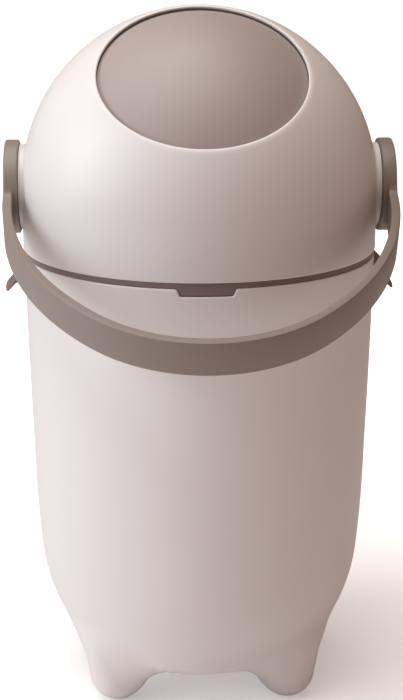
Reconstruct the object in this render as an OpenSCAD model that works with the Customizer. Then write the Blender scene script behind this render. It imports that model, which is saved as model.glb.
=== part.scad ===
// Nappy bin with a turning ball airlock.
// A round bucket on four moulded feet carries a domed head, hinged at the back.
// Inside the dome a hollow ball turns with the big strap handle: its mouth faces
// down into the bag while the bin is shut, and up into the hatch when the handle
// is swung over to the back.
// Millimetres. The front faces -Y and the floor is z = 0.

/* [Bucket] */
// Gap between the dome's lower edge and the bucket's rim, which shows the ring between them
rim_gap = 5; // [4:0.5:7]
// How far the bucket's rim lies inside the dome's outer surface
rim_step = 0.5; // [0.3:0.1:1.5]
// Wall of the bucket
wall = 3; // [2.4:0.1:3.5]
// How far the waist, below which the side curves in, lies inside the rim's radius
waist_in = 5.5; // [4:0.5:8]
// Height of the waist above the floor
waist_z = 163; // [150:1:180]
// How much smaller the ball-shaped lower side's radius is than the waist's
belly_in = 5.7; // [4:0.1:8]
// Height of that ball's centre above the floor
belly_z = 115.5; // [110:0.5:120]
// Height of the bucket's underside above the floor
underside_z = 43; // [38:0.5:48]
// Radius that the two bevels round the underside's edge follow
edge_r = 7; // [3:0.5:8]
// Reach of the ledge, on which the bag ring sits, inside the rim's wall
ledge_w = 3.3; // [2.9:0.1:3.9]
// Height of the ledge below the rim
ledge_drop = 20; // [17:0.5:24]

/* [Feet] */
// How far each foot's centre lies inside the waist's radius
foot_in = 43.6; // [43:0.2:48]
// Bearing of each foot from straight ahead or straight behind
foot_bearing = 48; // [43:1:50]
// Radius of the foot's rounded tip
tip_r = 24; // [20:0.5:26]
// How much of the rounding is cut away to leave a flat for the pad
tip_cut = 1.4; // [1.2:0.1:2]
// Lean of the foot's side from the vertical
foot_lean = 9.3; // [7:0.1:11]
// Height of the foot's plastic above the floor, where only the pad touches
tip_lift = 0.8; // [0.5:0.1:1.2]
// Fillet between the foot and the underside
foot_fillet = 13; // [8:0.5:16]
// Radius of the grip pad under a foot
pad_r = 7; // [5:0.5:7.5]
// Thickness of the grip pad
pad_t = 2.6; // [2:0.1:3.5]

/* [Front notch] */
// Width of the notch in the rim, at its mouth
notch_top = 46.4; // [36:0.2:56]
// Width of the notch at its floor
notch_floor = 42; // [32:0.2:50]
// Depth of the notch below the rim
notch_depth = 5.9; // [4:0.1:8]
// Rounding of the notch's lower corners
notch_r = 2.2; // [1:0.1:3]

/* [Dome] */
// Height of the dome's lower edge above the floor
seam_z = 393; // [370:1:430]
// Outer radius of the dome
dome_r = 150; // [149:0.5:152]
// Height of the handle's axis above the dome's lower edge
pivot_rise = 50; // [46:0.5:54]
// Wall of the dome
dome_wall = 3; // [2.6:0.1:3.2]
// Elevation of the hatch's axis
hatch_elev = 54; // [50:0.5:58]
// Radius of the hatch, measured at the middle of the wall
hatch_r = 83.5; // [78:0.5:84]
// Radius of the rounded lip round the hatch
lip_r = 1.9; // [1.6:0.1:2.1]
// Radius of the round bosses that carry the handle
boss_r = 35.5; // [34:0.5:37]
// How far the boss's face stands out past the dome's radius
boss_proud = 1.2; // [1:0.1:2]

/* [Ball] */
// Gap between the dome's inside and the ball
ball_gap = 1.5; // [1.3:0.1:1.8]
// Wall of the ball
ball_wall = 2.5; // [2:0.1:3]
// How much larger the ball's mouth is than the hatch, in radius
mouth_room = 0.9; // [0.7:0.1:4.5]
// Distance from the ball's centre to the joint between its two halves
split_drop = 24; // [22:0.5:30]
// Length of the tongue that centres one half in the other
tongue = 8; // [5:0.5:10]

/* [Handle] */
// Angle of the handle below the horizontal when the bin is shut
hang = 21.5; // [16:0.5:26]
// Radius of the handle's round end discs
disc_r = 39.3; // [38:0.1:42]
// Thickness of the discs
disc_t = 11.5; // [11:0.1:13]
// Bevel round the discs' edges
disc_bevel = 1.4; // [0.6:0.1:1.8]
// Thickness of the strap
strap_t = 7.5; // [6:0.1:8]
// Width of the strap
strap_w = 30; // [26:0.5:36]
// Rounding of the strap's long edges
strap_round = 1.2; // [0.6:0.1:2]
// Straight length of each arm, from the axis
arm_len = 40.2; // [38:0.1:50]
// How far the bow reaches beyond a half circle between the arms
bow_out = 39.6; // [32:0.2:52]
// How much tighter the bow's front arc is than that half circle
bow_tuck = 32; // [25:0.5:43]
// Fillet between an arm and its disc
arm_fillet = 8; // [4:0.5:12]

/* [Axle] */
// Radius of the axle stubs
axle_r = 12; // [10:0.1:13]
// Flat on an axle's keyed end, measured from its centre
key_flat = 9.5; // [8:0.1:9.8]
// Running clearance of the axle in its bush
axle_run = 0.06; // [0.03:0.01:0.09]
// Wall of the bush
bush_wall = 2.9; // [2:0.1:3.2]
// How deep the axle reaches into the ball's hub
axle_in = 14.2; // [10:0.1:16]

/* [Hinge] */
// Distance of the hinge's axis behind the dome's outer surface
hinge_out = 7; // [6.8:0.1:8]
// Radius of the hinge's knuckles
knuckle_r = 5.5; // [4.8:0.1:5.8]
// Radius of the hinge pin
pin_r = 2.5; // [2:0.1:3]
// Half the width of the head's middle knuckle
knuckle_half = 14; // [10:0.5:20]
// Width of each of the bucket's knuckles
knuckle_side = 15.7; // [10:0.1:20]
// How far the head tilts back before its heel stops on the bucket
tilt_range = 65; // [50:1:70]
// Reach of the heel that stops the head
heel_r = 10; // [9.6:0.1:10.5]

/* [Rings] */
// How far the ring between dome and bucket lies inside the dome's surface
band_in = 1.6; // [1.2:0.1:2]
// Width of the ring between dome and bucket
ring_w = 9.4; // [9.2:0.1:9.8]
// Gap between the bucket's wall and the ring's skirt, which drops inside it
skirt_gap = 0.9; // [0.7:0.1:1.2]
// Thickness of the skirt
skirt_t = 2.4; // [2:0.1:2.6]
// Depth of the skirt below the bucket's rim
skirt_drop = 12; // [8:0.5:14]
// Number of screws that hold the ring to the dome
screw_count = 6; // [4:1:8]
// Reach of the bag ring inside the ledge
bag_in = 4.7; // [3.2:0.1:7.2]
// Height of the bag ring's upstand above the ledge
bag_lip = 6.5; // [4:0.5:7]

/* [Side grips] */
// Width of a side grip round the bucket, as an angle
grip_span = 17; // [12:1:24]
// How far the grip's tip stands out from the dome's radius
grip_out = 16.5; // [12:0.5:18]
// Length of the grip below the rim
grip_len = 38; // [32:1:44]
// Thickness of the grip
grip_t = 3; // [2.5:0.1:4]

/* [Clearances] */
// Gap kept between pieces that move past each other
gap = 0.3; // [0.25:0.05:0.35]
// Gap of a part that is pressed or keyed into another
fit = 0.05; // [0.03:0.01:0.1]

/* [Hidden] */
$fn = 96;

// Colours as on the object
shell_white = [0.90, 0.88, 0.86];
taupe = [0.58, 0.52, 0.48];
dark_taupe = [0.40, 0.35, 0.32];
seal_grey = [0.30, 0.28, 0.27];
rubber_grey = [0.22, 0.22, 0.23];
steel = [0.70, 0.71, 0.73];
bush_cream = [0.86, 0.84, 0.78];

// Heights and radii that follow from the driving sizes
pivot_z = seam_z + pivot_rise;
rim_z = seam_z - rim_gap;
body_r = dome_r - rim_step;
waist_r = body_r - waist_in;
belly_r = waist_r - belly_in;
foot_ring = waist_r - foot_in;
ledge_r = body_r - wall - ledge_w;
bag_bore = ledge_r - bag_in;
dome_in = dome_r - dome_wall;
dome_mid = dome_r - dome_wall / 2;
ball_r = dome_in - ball_gap;
ball_in = ball_r - ball_wall;
ball_mid = ball_r - ball_wall / 2;
mouth_r = hatch_r + mouth_room;
boss_face = dome_r + boss_proud;
disc_in = boss_face + gap;
disc_out = disc_in + disc_t;
ring_z = rim_z + gap;
band_r = dome_r - band_in;
ring_bore = band_r - ring_w;
skirt_r = body_r - wall - skirt_gap;
hinge_y = dome_r + hinge_out;
hinge_z = (rim_z + seam_z) / 2;
ledge_z = rim_z - ledge_drop;
beyond = 3 * dome_r;

// The bin turns through this angle from shut to open: the mouth goes from straight down to the hatch
turn_range = 90 + hatch_elev;

// The origin is the middle of the whole footprint, so the bucket's axis stands a little behind it
bow_reach = disc_out + bow_out;
bow_front_r = disc_out - bow_tuck;
bow_total = arm_len + bow_reach;
front_reach = bow_total * cos(hang) + strap_w / 2 * sin(hang);
back_reach = hinge_y + knuckle_r;
axis_y = (front_reach - back_reach) / 2;

// Draft of the bucket's side above the waist
draft = atan((body_r - waist_r) / (rim_z - waist_z));
function side_r(z) = waist_r + (z - waist_z) * tan(draft);

// ---- Placing helpers ----

module on_axis() {
    translate([0, axis_y, 0]) children();
}

// Frame at the handle's axis: local z points out to the right, local x to the front at this elevation
module hub_frame(elevation = 0) {
    translate([0, 0, pivot_z]) rotate([0, 90, 0]) rotate([0, 0, -(90 + elevation)]) children();
}

// Frame at the ball's centre with local z along the hatch's axis
module hatch_frame() {
    translate([0, 0, pivot_z]) rotate([90 - hatch_elev, 0, 0]) children();
}

// Plane across the hinge: local x points back, local y up, local z to the right
module side_plane() {
    rotate([90, 0, 90]) children();
}

module both_sides() {
    children();
    mirror([1, 0, 0]) children();
}

module ring(outer, inner, z0, z1) {
    translate([0, 0, z0]) difference() {
        cylinder(r = outer, h = z1 - z0);
        translate([0, 0, -1]) cylinder(r = inner, h = z1 - z0 + 2);
    }
}

// Cylinder with one flat, for keyed ends and their sockets
module keyed(r, flat, z0, z1) {
    translate([0, 0, z0]) intersection() {
        cylinder(r = r, h = z1 - z0);
        translate([-2 * r, -2 * r, -1]) cube([4 * r, 2 * r + flat, z1 - z0 + 2]);
    }
}

// ---- Bucket ----

// Half section below the waist: a cone that runs into the ball-shaped lower side, drawn in by an inset
module belly(inset, bottom) {
    r = belly_r - inset;
    top_x = waist_r - inset;
    rise = waist_z - belly_z;
    bearing = atan2(rise, top_x) - acos(r / sqrt(top_x * top_x + rise * rise));
    touch_z = belly_z + r * sin(bearing);
    overlap = 5;
    polygon([
        [0, touch_z - overlap], [r * cos(bearing) - overlap, touch_z - overlap], [r * cos(bearing), touch_z],
        [top_x, waist_z], [0, waist_z]
    ]);
    intersection() {
        translate([0, belly_z]) circle(r = r, $fn = 360);
        translate([0, bottom]) square([dome_r, touch_z - bottom]);
    }
}

// Half section of the bucket's outside
module bucket_outline() {
    low = underside_z + edge_r;
    reach = belly_r - edge_r;
    edge_x = sqrt(reach * reach - pow(belly_z - low, 2));
    edge_a = asin((low - belly_z) / reach);
    mid_a = (edge_a - 90) / 2;
    rim_round = wall / 2;
    polygon([
        [0, waist_z], [waist_r, waist_z],
        [side_r(rim_z - rim_round), rim_z - rim_round],
        [side_r(rim_z - rim_round) - rim_round, rim_z],
        [0, rim_z]
    ]);
    translate([side_r(rim_z - rim_round) - rim_round, rim_z - rim_round]) circle(r = rim_round);
    difference() {
        belly(0, underside_z);
        translate([edge_x, low]) polygon([
            [0, -edge_r - 1], [0, -edge_r], edge_r * [cos(mid_a), sin(mid_a)], edge_r * [cos(edge_a), sin(edge_a)],
            3 * edge_r * [cos(edge_a), sin(edge_a)], [3 * edge_r, -edge_r - 1]
        ]);
    }
}

// Half section of the space inside, with the ledge for the bag ring
module bucket_cavity() {
    polygon([
        [0, waist_z], [waist_r - wall, waist_z],
        [side_r(ledge_z - 8) - wall, ledge_z - 8], [ledge_r, ledge_z - 4],
        [ledge_r, ledge_z], [side_r(ledge_z) - wall, ledge_z],
        [side_r(rim_z) - wall, rim_z - wall / 2], [side_r(rim_z) - wall, rim_z + 1], [0, rim_z + 1]
    ]);
    belly(wall, underside_z + wall);
}

// A foot is a cone with a rounded tip, and goes straight up where it runs into the bucket's lower side
foot_bend = underside_z + 15;
foot_top = underside_z + 47;
tip_z = tip_lift + tip_r - tip_cut;
cone_z = tip_z - tip_r * sin(foot_lean);
function foot_r(z) = tip_r * cos(foot_lean) + (z - cone_z) * tan(foot_lean);

// Half section of a foot about its own axis, drawn in by an inset
module foot_outline(inset) {
    low = tip_lift + inset;
    low_z = tip_z - (tip_r - inset) * sin(foot_lean);
    low_r = (tip_r - inset) * cos(foot_lean);
    intersection() {
        translate([0, tip_z]) circle(r = tip_r - inset);
        translate([0, low]) square([tip_r, low_z - low]);
    }
    bend_r = low_r + (foot_bend - low_z) * tan(foot_lean);
    polygon([[0, low_z], [low_r, low_z], [bend_r, foot_bend], [bend_r, foot_top], [0, foot_top]]);
}

module at_feet() {
    for (back = [0, 180], side = [-1, 1])
        rotate([0, 0, back + side * foot_bearing]) translate([0, -foot_ring, 0]) children();
}

// Concave webs that run each foot into the underside, cut off a hair inside the bucket's lower side
module foot_webs() {
    start = underside_z - foot_fillet + 0.1;
    root = foot_r(start);
    intersection() {
        at_feet() rotate_extrude() difference() {
            translate([0, start]) square([root + foot_fillet - 0.5, foot_fillet + wall / 2]);
            translate([root + foot_fillet, start]) circle(r = foot_fillet);
        }
        rotate_extrude($fn = 180) intersection() {
            translate([0, start - 1]) square([dome_r, foot_fillet + wall]);
            translate([0, belly_z]) circle(r = belly_r - 0.2, $fn = 360);
        }
    }
}

// Outline of the notch in the rim, its mouth at y = 0, drawn in by an inset
module notch_outline(inset) {
    lean = atan((notch_top - notch_floor) / 2 / notch_depth);
    r = max(notch_r - inset, 0.4);
    floor_y = inset - notch_depth;
    half_floor = notch_floor / 2 - inset / cos(lean) + inset * tan(lean);
    corner_x = half_floor - r * tan((90 - lean) / 2);
    tx = corner_x + r * cos(lean);
    ty = floor_y + r - r * sin(lean);
    mouth_x = tx + (rim_gap - ty) * tan(lean);
    polygon([
        [-mouth_x, rim_gap], [-tx, ty], [-corner_x, floor_y + r], [-corner_x, floor_y],
        [corner_x, floor_y], [corner_x, floor_y + r], [tx, ty], [mouth_x, rim_gap]
    ]);
    for (s = [-1, 1]) translate([s * corner_x, floor_y + r]) circle(r = r);
}

module front_notch(inset, depth_in) {
    translate([0, -depth_in, rim_z]) rotate([90, 0, 0]) linear_extrude(height = dome_r) notch_outline(inset);
}

// Gusset and knuckle on one side of the bucket's back
module bucket_knuckle() {
    root_y = body_r - wall / 2;
    translate([knuckle_half + gap, 0, 0]) {
        translate([0, hinge_y, hinge_z]) rotate([0, 90, 0]) cylinder(r = knuckle_r, h = knuckle_side);
        side_plane() linear_extrude(height = knuckle_side) polygon([
            [root_y, rim_z - 20], [root_y, rim_z - 2], [hinge_y - knuckle_r * 0.9, rim_z],
            [hinge_y + knuckle_r * 0.7, rim_z - 2]
        ]);
    }
}

stud_r = 2.5;
stud_bearing = grip_span / 4;
stud_z = rim_z - 12;

stud_in = side_r(stud_z) - wall + 0.2;

module at_studs(clear, start) {
    for (s = [-1, 1])
        rotate([0, 0, s * stud_bearing]) translate([start, 0, stud_z])
            rotate([0, 90, 0]) cylinder(r = stud_r + clear, h = body_r + grip_t / 2 - start);
}

module bucket() {
    color(shell_white) on_axis() difference() {
        union() {
            difference() {
                union() {
                    rotate_extrude($fn = 180) bucket_outline();
                    at_feet() rotate_extrude() foot_outline(0);
                    foot_webs();
                }
                rotate_extrude($fn = 180) bucket_cavity();
                at_feet() rotate_extrude() foot_outline(wall);
                front_notch(0, body_r - 3 * wall);
            }
            both_sides() bucket_knuckle();
        }
        translate([-beyond / 2, hinge_y, hinge_z]) rotate([0, 90, 0]) cylinder(r = pin_r + fit, h = beyond);
        at_feet() translate([0, 0, -1]) cylinder(r = pad_r + fit, h = pad_t + 1);
        both_sides() at_studs(fit, stud_in - wall);
    }
}

module foot_pads() {
    bevel = 0.5;
    color(rubber_grey) on_axis() at_feet() rotate_extrude() polygon([
        [0, 0], [pad_r - bevel, 0], [pad_r, bevel], [pad_r, pad_t], [0, pad_t]
    ]);
}

// Flared grip under the rim, on the right: a lip for the fingers, held by two studs
module side_grip() {
    top = rim_z - 2;
    foot_z = rim_z - grip_len;
    tip_x = dome_r + grip_out;
    rotate([0, 0, -grip_span / 2]) rotate_extrude(angle = grip_span) {
        polygon([
            [side_r(top), top], [side_r(top) + 1, top], [side_r(top) + 8, top - 7],
            [side_r(top) + 9.5, top - 20], [tip_x, foot_z + 1.5], [tip_x - grip_t * 0.8, foot_z + 0.4],
            [side_r(top) + 5.5, top - 22], [side_r(top - 26) + 2.4, top - 26],
            [side_r(top - 26), top - 26]
        ]);
        translate([tip_x - grip_t / 2, foot_z + 1.5]) circle(r = grip_t / 2, $fn = 24);
    }
    at_studs(0, stud_in);
}

module side_grip_right() {
    color(dark_taupe) on_axis() side_grip();
}

module side_grip_left() {
    color(dark_taupe) on_axis() mirror([1, 0, 0]) side_grip();
}

module bag_ring() {
    seat_r = side_r(ledge_z) - wall - gap;
    flange_t = 2.4;
    lip_t = 2;
    color(taupe) on_axis() rotate_extrude($fn = 180) {
        polygon([
            [bag_bore, ledge_z - 6], [bag_bore + lip_t, ledge_z - 6], [bag_bore + lip_t, ledge_z],
            [seat_r, ledge_z], [seat_r, ledge_z + flange_t], [bag_bore + lip_t, ledge_z + flange_t],
            [bag_bore + lip_t, ledge_z + bag_lip], [bag_bore, ledge_z + bag_lip]
        ]);
        translate([bag_bore + lip_t / 2, ledge_z + bag_lip]) circle(r = lip_t / 2);
        translate([bag_bore + lip_t / 2, ledge_z - 6]) circle(r = lip_t / 2);
    }
}

module hinge_pin() {
    half = knuckle_half + gap + knuckle_side;
    head_t = 1.6;
    color(steel) on_axis() translate([0, hinge_y, hinge_z]) rotate([0, 90, 0]) {
        translate([0, 0, -half - 1]) cylinder(r = pin_r, h = 2 * half + 1);
        translate([0, 0, half]) cylinder(r = pin_r * 1.5, h = head_t);
    }
}

// ---- Head ----

// Half section of the dome, from its lower edge up, for a given radius
module dome_outline(r, below) {
    translate([0, seam_z - below]) square([r, pivot_rise + below]);
    translate([0, pivot_z]) intersection() {
        circle(r = r, $fn = 360);
        square([r, r]);
    }
}

screw_r = 1.4;
screw_ring = (ring_bore + skirt_r) / 2;

module at_screws() {
    for (i = [0 : screw_count - 1])
        rotate([0, 0, (i + 0.5) * 360 / screw_count]) translate([0, -screw_ring, 0]) children();
}

// Post for a screw, with a web that ties it to the dome's wall
module screw_post() {
    post_r = 3;
    post_h = 6;
    translate([0, 0, seam_z]) {
        cylinder(r = post_r, h = post_h);
        translate([-post_r, -dome_in - 0.8 + screw_ring, 0]) cube([2 * post_r, dome_in - screw_ring + 0.8, post_h]);
    }
}

// Sector groove in the boss's face, in which the handle's stop lug travels
lug_half = 7;
groove_in = 22.5;
groove_out = 31;
groove_depth = 2.8;

module stop_groove() {
    slack = 1;
    start = -hang - lug_half - slack;
    sweep = turn_range + 2 * (lug_half + slack);
    hub_frame(start + sweep) rotate_extrude(angle = sweep)
        translate([groove_in, boss_face - groove_depth]) square([groove_out - groove_in, groove_depth + 1]);
}

bush_r = axle_r + axle_run + bush_wall;
bush_flange_r = bush_r + 3;
bush_flange_t = 1.4;

module dome_shell() {
    color(shell_white) on_axis() difference() {
        union() {
            difference() {
                union() {
                    rotate_extrude($fn = 180) dome_outline(dome_r, 0);
                    both_sides() hub_frame() translate([0, 0, ball_in])
                        cylinder(r = boss_r, h = boss_face - ball_in);
                }
                rotate_extrude($fn = 180) dome_outline(dome_in, 1);
                hatch_frame() translate([0, 0, dome_r / 3]) cylinder(r = hatch_r, h = dome_r, $fn = 180);
            }
            hatch_frame() rotate_extrude($fn = 180)
                translate([hatch_r, sqrt(dome_mid * dome_mid - hatch_r * hatch_r)]) circle(r = lip_r, $fn = 32);
            at_screws() screw_post();
        }
        both_sides() {
            hub_frame() translate([0, 0, ball_in]) cylinder(r = bush_r + fit, h = disc_t);
            hub_frame() translate([0, 0, boss_face - bush_flange_t]) cylinder(r = bush_flange_r + fit, h = disc_t);
            stop_groove();
        }
        at_screws() translate([0, 0, seam_z - 1]) cylinder(r = screw_r + fit, h = 6);
    }
}

// Hinge knuckle of the head, with the heel that stops it on the bucket's wall
module head_knuckle() {
    contact = acos(-(hinge_y - side_r(rim_z - heel_r) - gap) / heel_r);
    lead = -(contact - tilt_range);
    half = knuckle_half;
    translate([-half, 0, 0]) {
        translate([0, hinge_y, hinge_z]) rotate([0, 90, 0]) cylinder(r = knuckle_r, h = 2 * half);
        side_plane() linear_extrude(height = 2 * half) polygon([
            [skirt_r, ring_z], [hinge_y, ring_z], [hinge_y, seam_z], [skirt_r, seam_z]
        ]);
        translate([0.5, hinge_y, hinge_z]) side_plane() linear_extrude(height = 2 * half - 1) polygon([
            [0, 0], heel_r * [cos(lead), sin(lead)], heel_r * [cos(lead + 14), sin(lead + 14)],
            knuckle_r * [cos(lead + 40), sin(lead + 40)]
        ]);
    }
}

seal_seat = 1.2;
gasket_in = body_r - 3.5;
gasket_w = 1.8;

module base_ring() {
    head_r = 2.6;
    color(dark_taupe) on_axis() difference() {
        union() {
            ring(band_r, ring_bore, ring_z, seam_z);
            ring(skirt_r, skirt_r - skirt_t, rim_z - skirt_drop, ring_z + 1);
            intersection() {
                ring(band_r, skirt_r - skirt_t, rim_z - notch_depth, ring_z + 1);
                front_notch(0.5, ring_bore);
            }
            head_knuckle();
        }
        translate([-beyond / 2, hinge_y, hinge_z]) rotate([0, 90, 0]) cylinder(r = pin_r + fit, h = beyond);
        difference() {
            ring(gasket_in + gasket_w, gasket_in, ring_z - 1, ring_z + seal_seat);
            front_notch(-1, ring_bore);
            translate([-knuckle_half - 1, 0, ring_z - 2]) cube([2 * knuckle_half + 2, dome_r, 2 + rim_gap]);
        }
        at_screws() {
            translate([0, 0, ring_z - 1]) cylinder(r = screw_r + 0.3, h = rim_gap + 2);
            translate([0, 0, rim_z - skirt_drop - 1]) cylinder(r = head_r, h = skirt_drop + 3);
        }
    }
}

module base_screws() {
    shank = 8;
    head_t = 1.6;
    seat_z = rim_z + 2;
    color(steel) on_axis() at_screws() {
        translate([0, 0, seat_z]) cylinder(r = screw_r, h = shank);
        translate([0, 0, seat_z - head_t]) cylinder(r = 2.5, h = head_t);
    }
}

// Soft lip round the hatch that wipes the ball, under the dome's edge
module hatch_seal() {
    start = asin(hatch_r / dome_mid) + asin(lip_r / dome_mid) + 0.3;
    stop = start + 4.5;
    color(seal_grey) on_axis() hatch_frame() rotate_extrude($fn = 180) intersection() {
        difference() {
            circle(r = dome_in - fit, $fn = 360);
            circle(r = ball_r + gap, $fn = 360);
        }
        polygon([
            [0, 0], beyond * [sin(start), cos(start)], beyond * [sin(stop), cos(stop)]
        ]);
    }
}

// Soft lip in the ring's bore, close round the ball
module ball_seal() {
    z0 = ring_z + gap;
    z1 = seam_z - 1.8;
    function lip(z) = sqrt(ball_r * ball_r - pow(pivot_z - z, 2)) + gap + 0.1;
    color(seal_grey) on_axis() rotate_extrude($fn = 180) polygon([
        [ring_bore, z0], [ring_bore, z1], [lip(z1), z1], [lip(z1), z1 - 0.8], [lip(z1) + 1.4, z0]
    ]);
}

module rim_seal() {
    color(seal_grey) on_axis() difference() {
        ring(gasket_in + gasket_w - fit, gasket_in + fit, ring_z, ring_z + seal_seat);
        front_notch(-1.2, ring_bore);
        translate([-knuckle_half - 1.2, 0, ring_z - 2]) cube([2 * knuckle_half + 2.4, dome_r, 2 + rim_gap]);
    }
}

module bush() {
    bore = axle_r + axle_run;
    hub_frame() difference() {
        union() {
            translate([0, 0, dome_in]) cylinder(r = bush_r, h = boss_face - dome_in);
            translate([0, 0, boss_face - bush_flange_t + fit]) cylinder(r = bush_flange_r, h = bush_flange_t - fit);
        }
        translate([0, 0, ball_in]) cylinder(r = bore, h = disc_t + dome_wall);
    }
}

module bush_right() {
    color(bush_cream) on_axis() bush();
}

module bush_left() {
    color(bush_cream) on_axis() mirror([1, 0, 0]) bush();
}

// ---- Handle, axles and ball, which turn together ----

axle_end = disc_in + 4.7;
pocket_in = axle_end + 2;
cap_t = 2;
cap_r = 16;
pocket_r = 11;
hub_screw_r = 2;

// Rounded section of the strap, its outer face at x = r, drawn in by an inset
module strap_section(r, inset) {
    x0 = r - strap_t + inset;
    x1 = r - inset;
    y1 = strap_w / 2 - inset;
    translate([x0, strap_round - y1]) square([x1 - x0, 2 * (y1 - strap_round)]);
    translate([x0 + strap_round, -y1]) square([x1 - x0 - 2 * strap_round, 2 * y1]);
    for (x = [x0 + strap_round, x1 - strap_round], y = [-1, 1])
        translate([x, y * (y1 - strap_round)]) circle(r = strap_round, $fn = 24);
}

// The bow is three arcs that run into each other: a tight one in front and two long ones at the sides
bow_k = bow_reach - bow_front_r;
bow_side_r = (disc_out * disc_out + bow_k * bow_k - bow_front_r * bow_front_r) / (2 * (disc_out - bow_front_r));
bow_side_x = bow_side_r - disc_out;
bow_turn = atan2(bow_k, bow_side_x);

// Where two lengths meet, the long arc's end is buried in its neighbour, which is a hair larger
module strap() {
    hair = 0.05;
    lap = 0.6;
    translate([0, 0, pivot_z]) rotate([180 + hang, 0, 0]) {
        translate([0, arm_len + bow_k, 0]) rotate([0, 0, bow_turn])
            rotate_extrude(angle = 180 - 2 * bow_turn, $fn = 180) strap_section(bow_front_r, hair);
        both_sides() {
            translate([-bow_side_x, arm_len, 0]) rotate([0, 0, -lap])
                rotate_extrude(angle = bow_turn + 2 * lap, $fn = 240) strap_section(bow_side_r, 2 * hair);
            translate([0, arm_len, 0]) rotate([90, 0, 0]) linear_extrude(height = arm_len - pocket_r)
                strap_section(disc_out, hair);
        }
    }
}

// Fillets in the plane of the disc, where the arm leaves its edge
module arm_fillets() {
    off = strap_w / 2 + arm_fillet;
    reach = disc_r + arm_fillet;
    cx = sqrt(reach * reach - off * off);
    hub_frame(-hang) translate([0, 0, disc_out - strap_t]) linear_extrude(height = strap_t - disc_bevel)
        for (s = [-1, 1]) difference() {
            polygon([
                [disc_r * 0.7, s * (strap_w / 2 - 2)], [cx, s * (strap_w / 2 - 2)], [cx, s * off],
                disc_r / reach * [cx, s * off]
            ]);
            translate([cx, s * off]) circle(r = arm_fillet);
        }
}

module handle_disc() {
    hub_frame() rotate_extrude($fn = 120) polygon([
        [0, disc_in], [disc_r - disc_bevel, disc_in], [disc_r, disc_in + disc_bevel],
        [disc_r, disc_out - disc_bevel], [disc_r - disc_bevel, disc_out], [0, disc_out]
    ]);
}

module stop_lug() {
    slack = 0.7;
    hub_frame(-hang + lug_half) rotate_extrude(angle = 2 * lug_half)
        translate([groove_in + slack, boss_face - groove_depth + 0.5])
            square([groove_out - groove_in - 2 * slack, groove_depth + 1]);
}

module handle() {
    color(taupe) on_axis() difference() {
        union() {
            strap();
            both_sides() {
                handle_disc();
                arm_fillets();
                stop_lug();
            }
        }
        both_sides() hub_frame(-hang) {
            keyed(axle_r + fit, key_flat + fit, disc_in - 1, axle_end + fit);
            cylinder(r = hub_screw_r + 0.3, h = disc_out);
            translate([0, 0, pocket_in]) cylinder(r = pocket_r + fit, h = disc_t);
            translate([0, 0, disc_out - cap_t]) cylinder(r = cap_r + fit, h = disc_t);
        }
    }
}

module axle() {
    inner = ball_r - axle_in;
    hub_frame(-hang) difference() {
        union() {
            keyed(axle_r, key_flat, inner, axle_end);
            translate([0, 0, ball_r + gap]) cylinder(r = axle_r, h = disc_in - ball_r - 2 * gap);
        }
        translate([0, 0, inner + 3]) cylinder(r = hub_screw_r + fit, h = axle_in + disc_t);
    }
}

module axle_right() {
    color(bush_cream) on_axis() axle();
}

module axle_left() {
    color(bush_cream) on_axis() mirror([1, 0, 0]) axle();
}

module hub_screws() {
    head_t = 2.2;
    color(steel) on_axis() both_sides() hub_frame() {
        translate([0, 0, ball_r - axle_in + 5]) cylinder(r = hub_screw_r, h = pocket_in - ball_r + axle_in - 5);
        difference() {
            translate([0, 0, pocket_in]) cylinder(r = 4.5, h = head_t);
            for (a = [0, 90]) rotate([0, 0, a]) translate([-3, -0.5, pocket_in + 1]) cube([6, 1, head_t]);
        }
    }
}

// Round cap over the hub screw, snapped into the disc's outer face
module hub_cap() {
    bevel = 0.4;
    hub_frame() {
        rotate_extrude() polygon([
            [0, disc_out - cap_t], [cap_r, disc_out - cap_t], [cap_r, disc_out - bevel],
            [cap_r - bevel, disc_out], [0, disc_out]
        ]);
        ring(pocket_r, pocket_r - 1.6, pocket_in + gap, disc_out - cap_t + 0.5);
    }
}

module hub_cap_right() {
    color(taupe) on_axis() hub_cap();
}

module hub_cap_left() {
    color(taupe) on_axis() mirror([1, 0, 0]) hub_cap();
}

// Closed half of the ball: the side that fills the hatch while the bin is shut
module cup_shell() {
    hub_r = axle_r + 4.5;
    hub_depth = axle_in + 3;
    color(taupe) on_axis() difference() {
        translate([0, 0, pivot_z]) intersection() {
            sphere(r = ball_r, $fn = 180);
            translate([-beyond / 2, -beyond / 2, -split_drop]) cube(beyond);
        }
        difference() {
            translate([0, 0, pivot_z]) sphere(r = ball_in, $fn = 180);
            both_sides() hub_frame() translate([0, 0, ball_r - hub_depth]) cylinder(r = hub_r, h = hub_depth);
        }
        both_sides() hub_frame(-hang)
            keyed(axle_r + fit, key_flat + fit, ball_r - axle_in - fit, ball_r + 1);
    }
}

// Open half of the ball, which carries the mouth
module cup_collar() {
    color(taupe) on_axis() translate([0, 0, pivot_z]) {
        difference() {
            intersection() {
                sphere(r = ball_r, $fn = 180);
                translate([-beyond / 2, -beyond / 2, -beyond - split_drop]) cube(beyond);
            }
            sphere(r = ball_in, $fn = 180);
            translate([0, 0, -beyond]) cylinder(r = mouth_r, h = beyond, $fn = 180);
        }
        rotate_extrude($fn = 180) {
            translate([mouth_r, -sqrt(ball_mid * ball_mid - mouth_r * mouth_r)])
                circle(r = ball_wall / 2, $fn = 32);
            intersection() {
                difference() {
                    circle(r = ball_in + 0.5, $fn = 360);
                    circle(r = ball_in - 2.4, $fn = 360);
                }
                translate([0, -split_drop - tongue]) square([ball_r, tongue]);
            }
            intersection() {
                difference() {
                    circle(r = ball_in - 2 * fit, $fn = 360);
                    circle(r = ball_in - 2.4, $fn = 360);
                }
                translate([0, -split_drop]) square([ball_r, tongue - 2]);
            }
        }
    }
}

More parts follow.
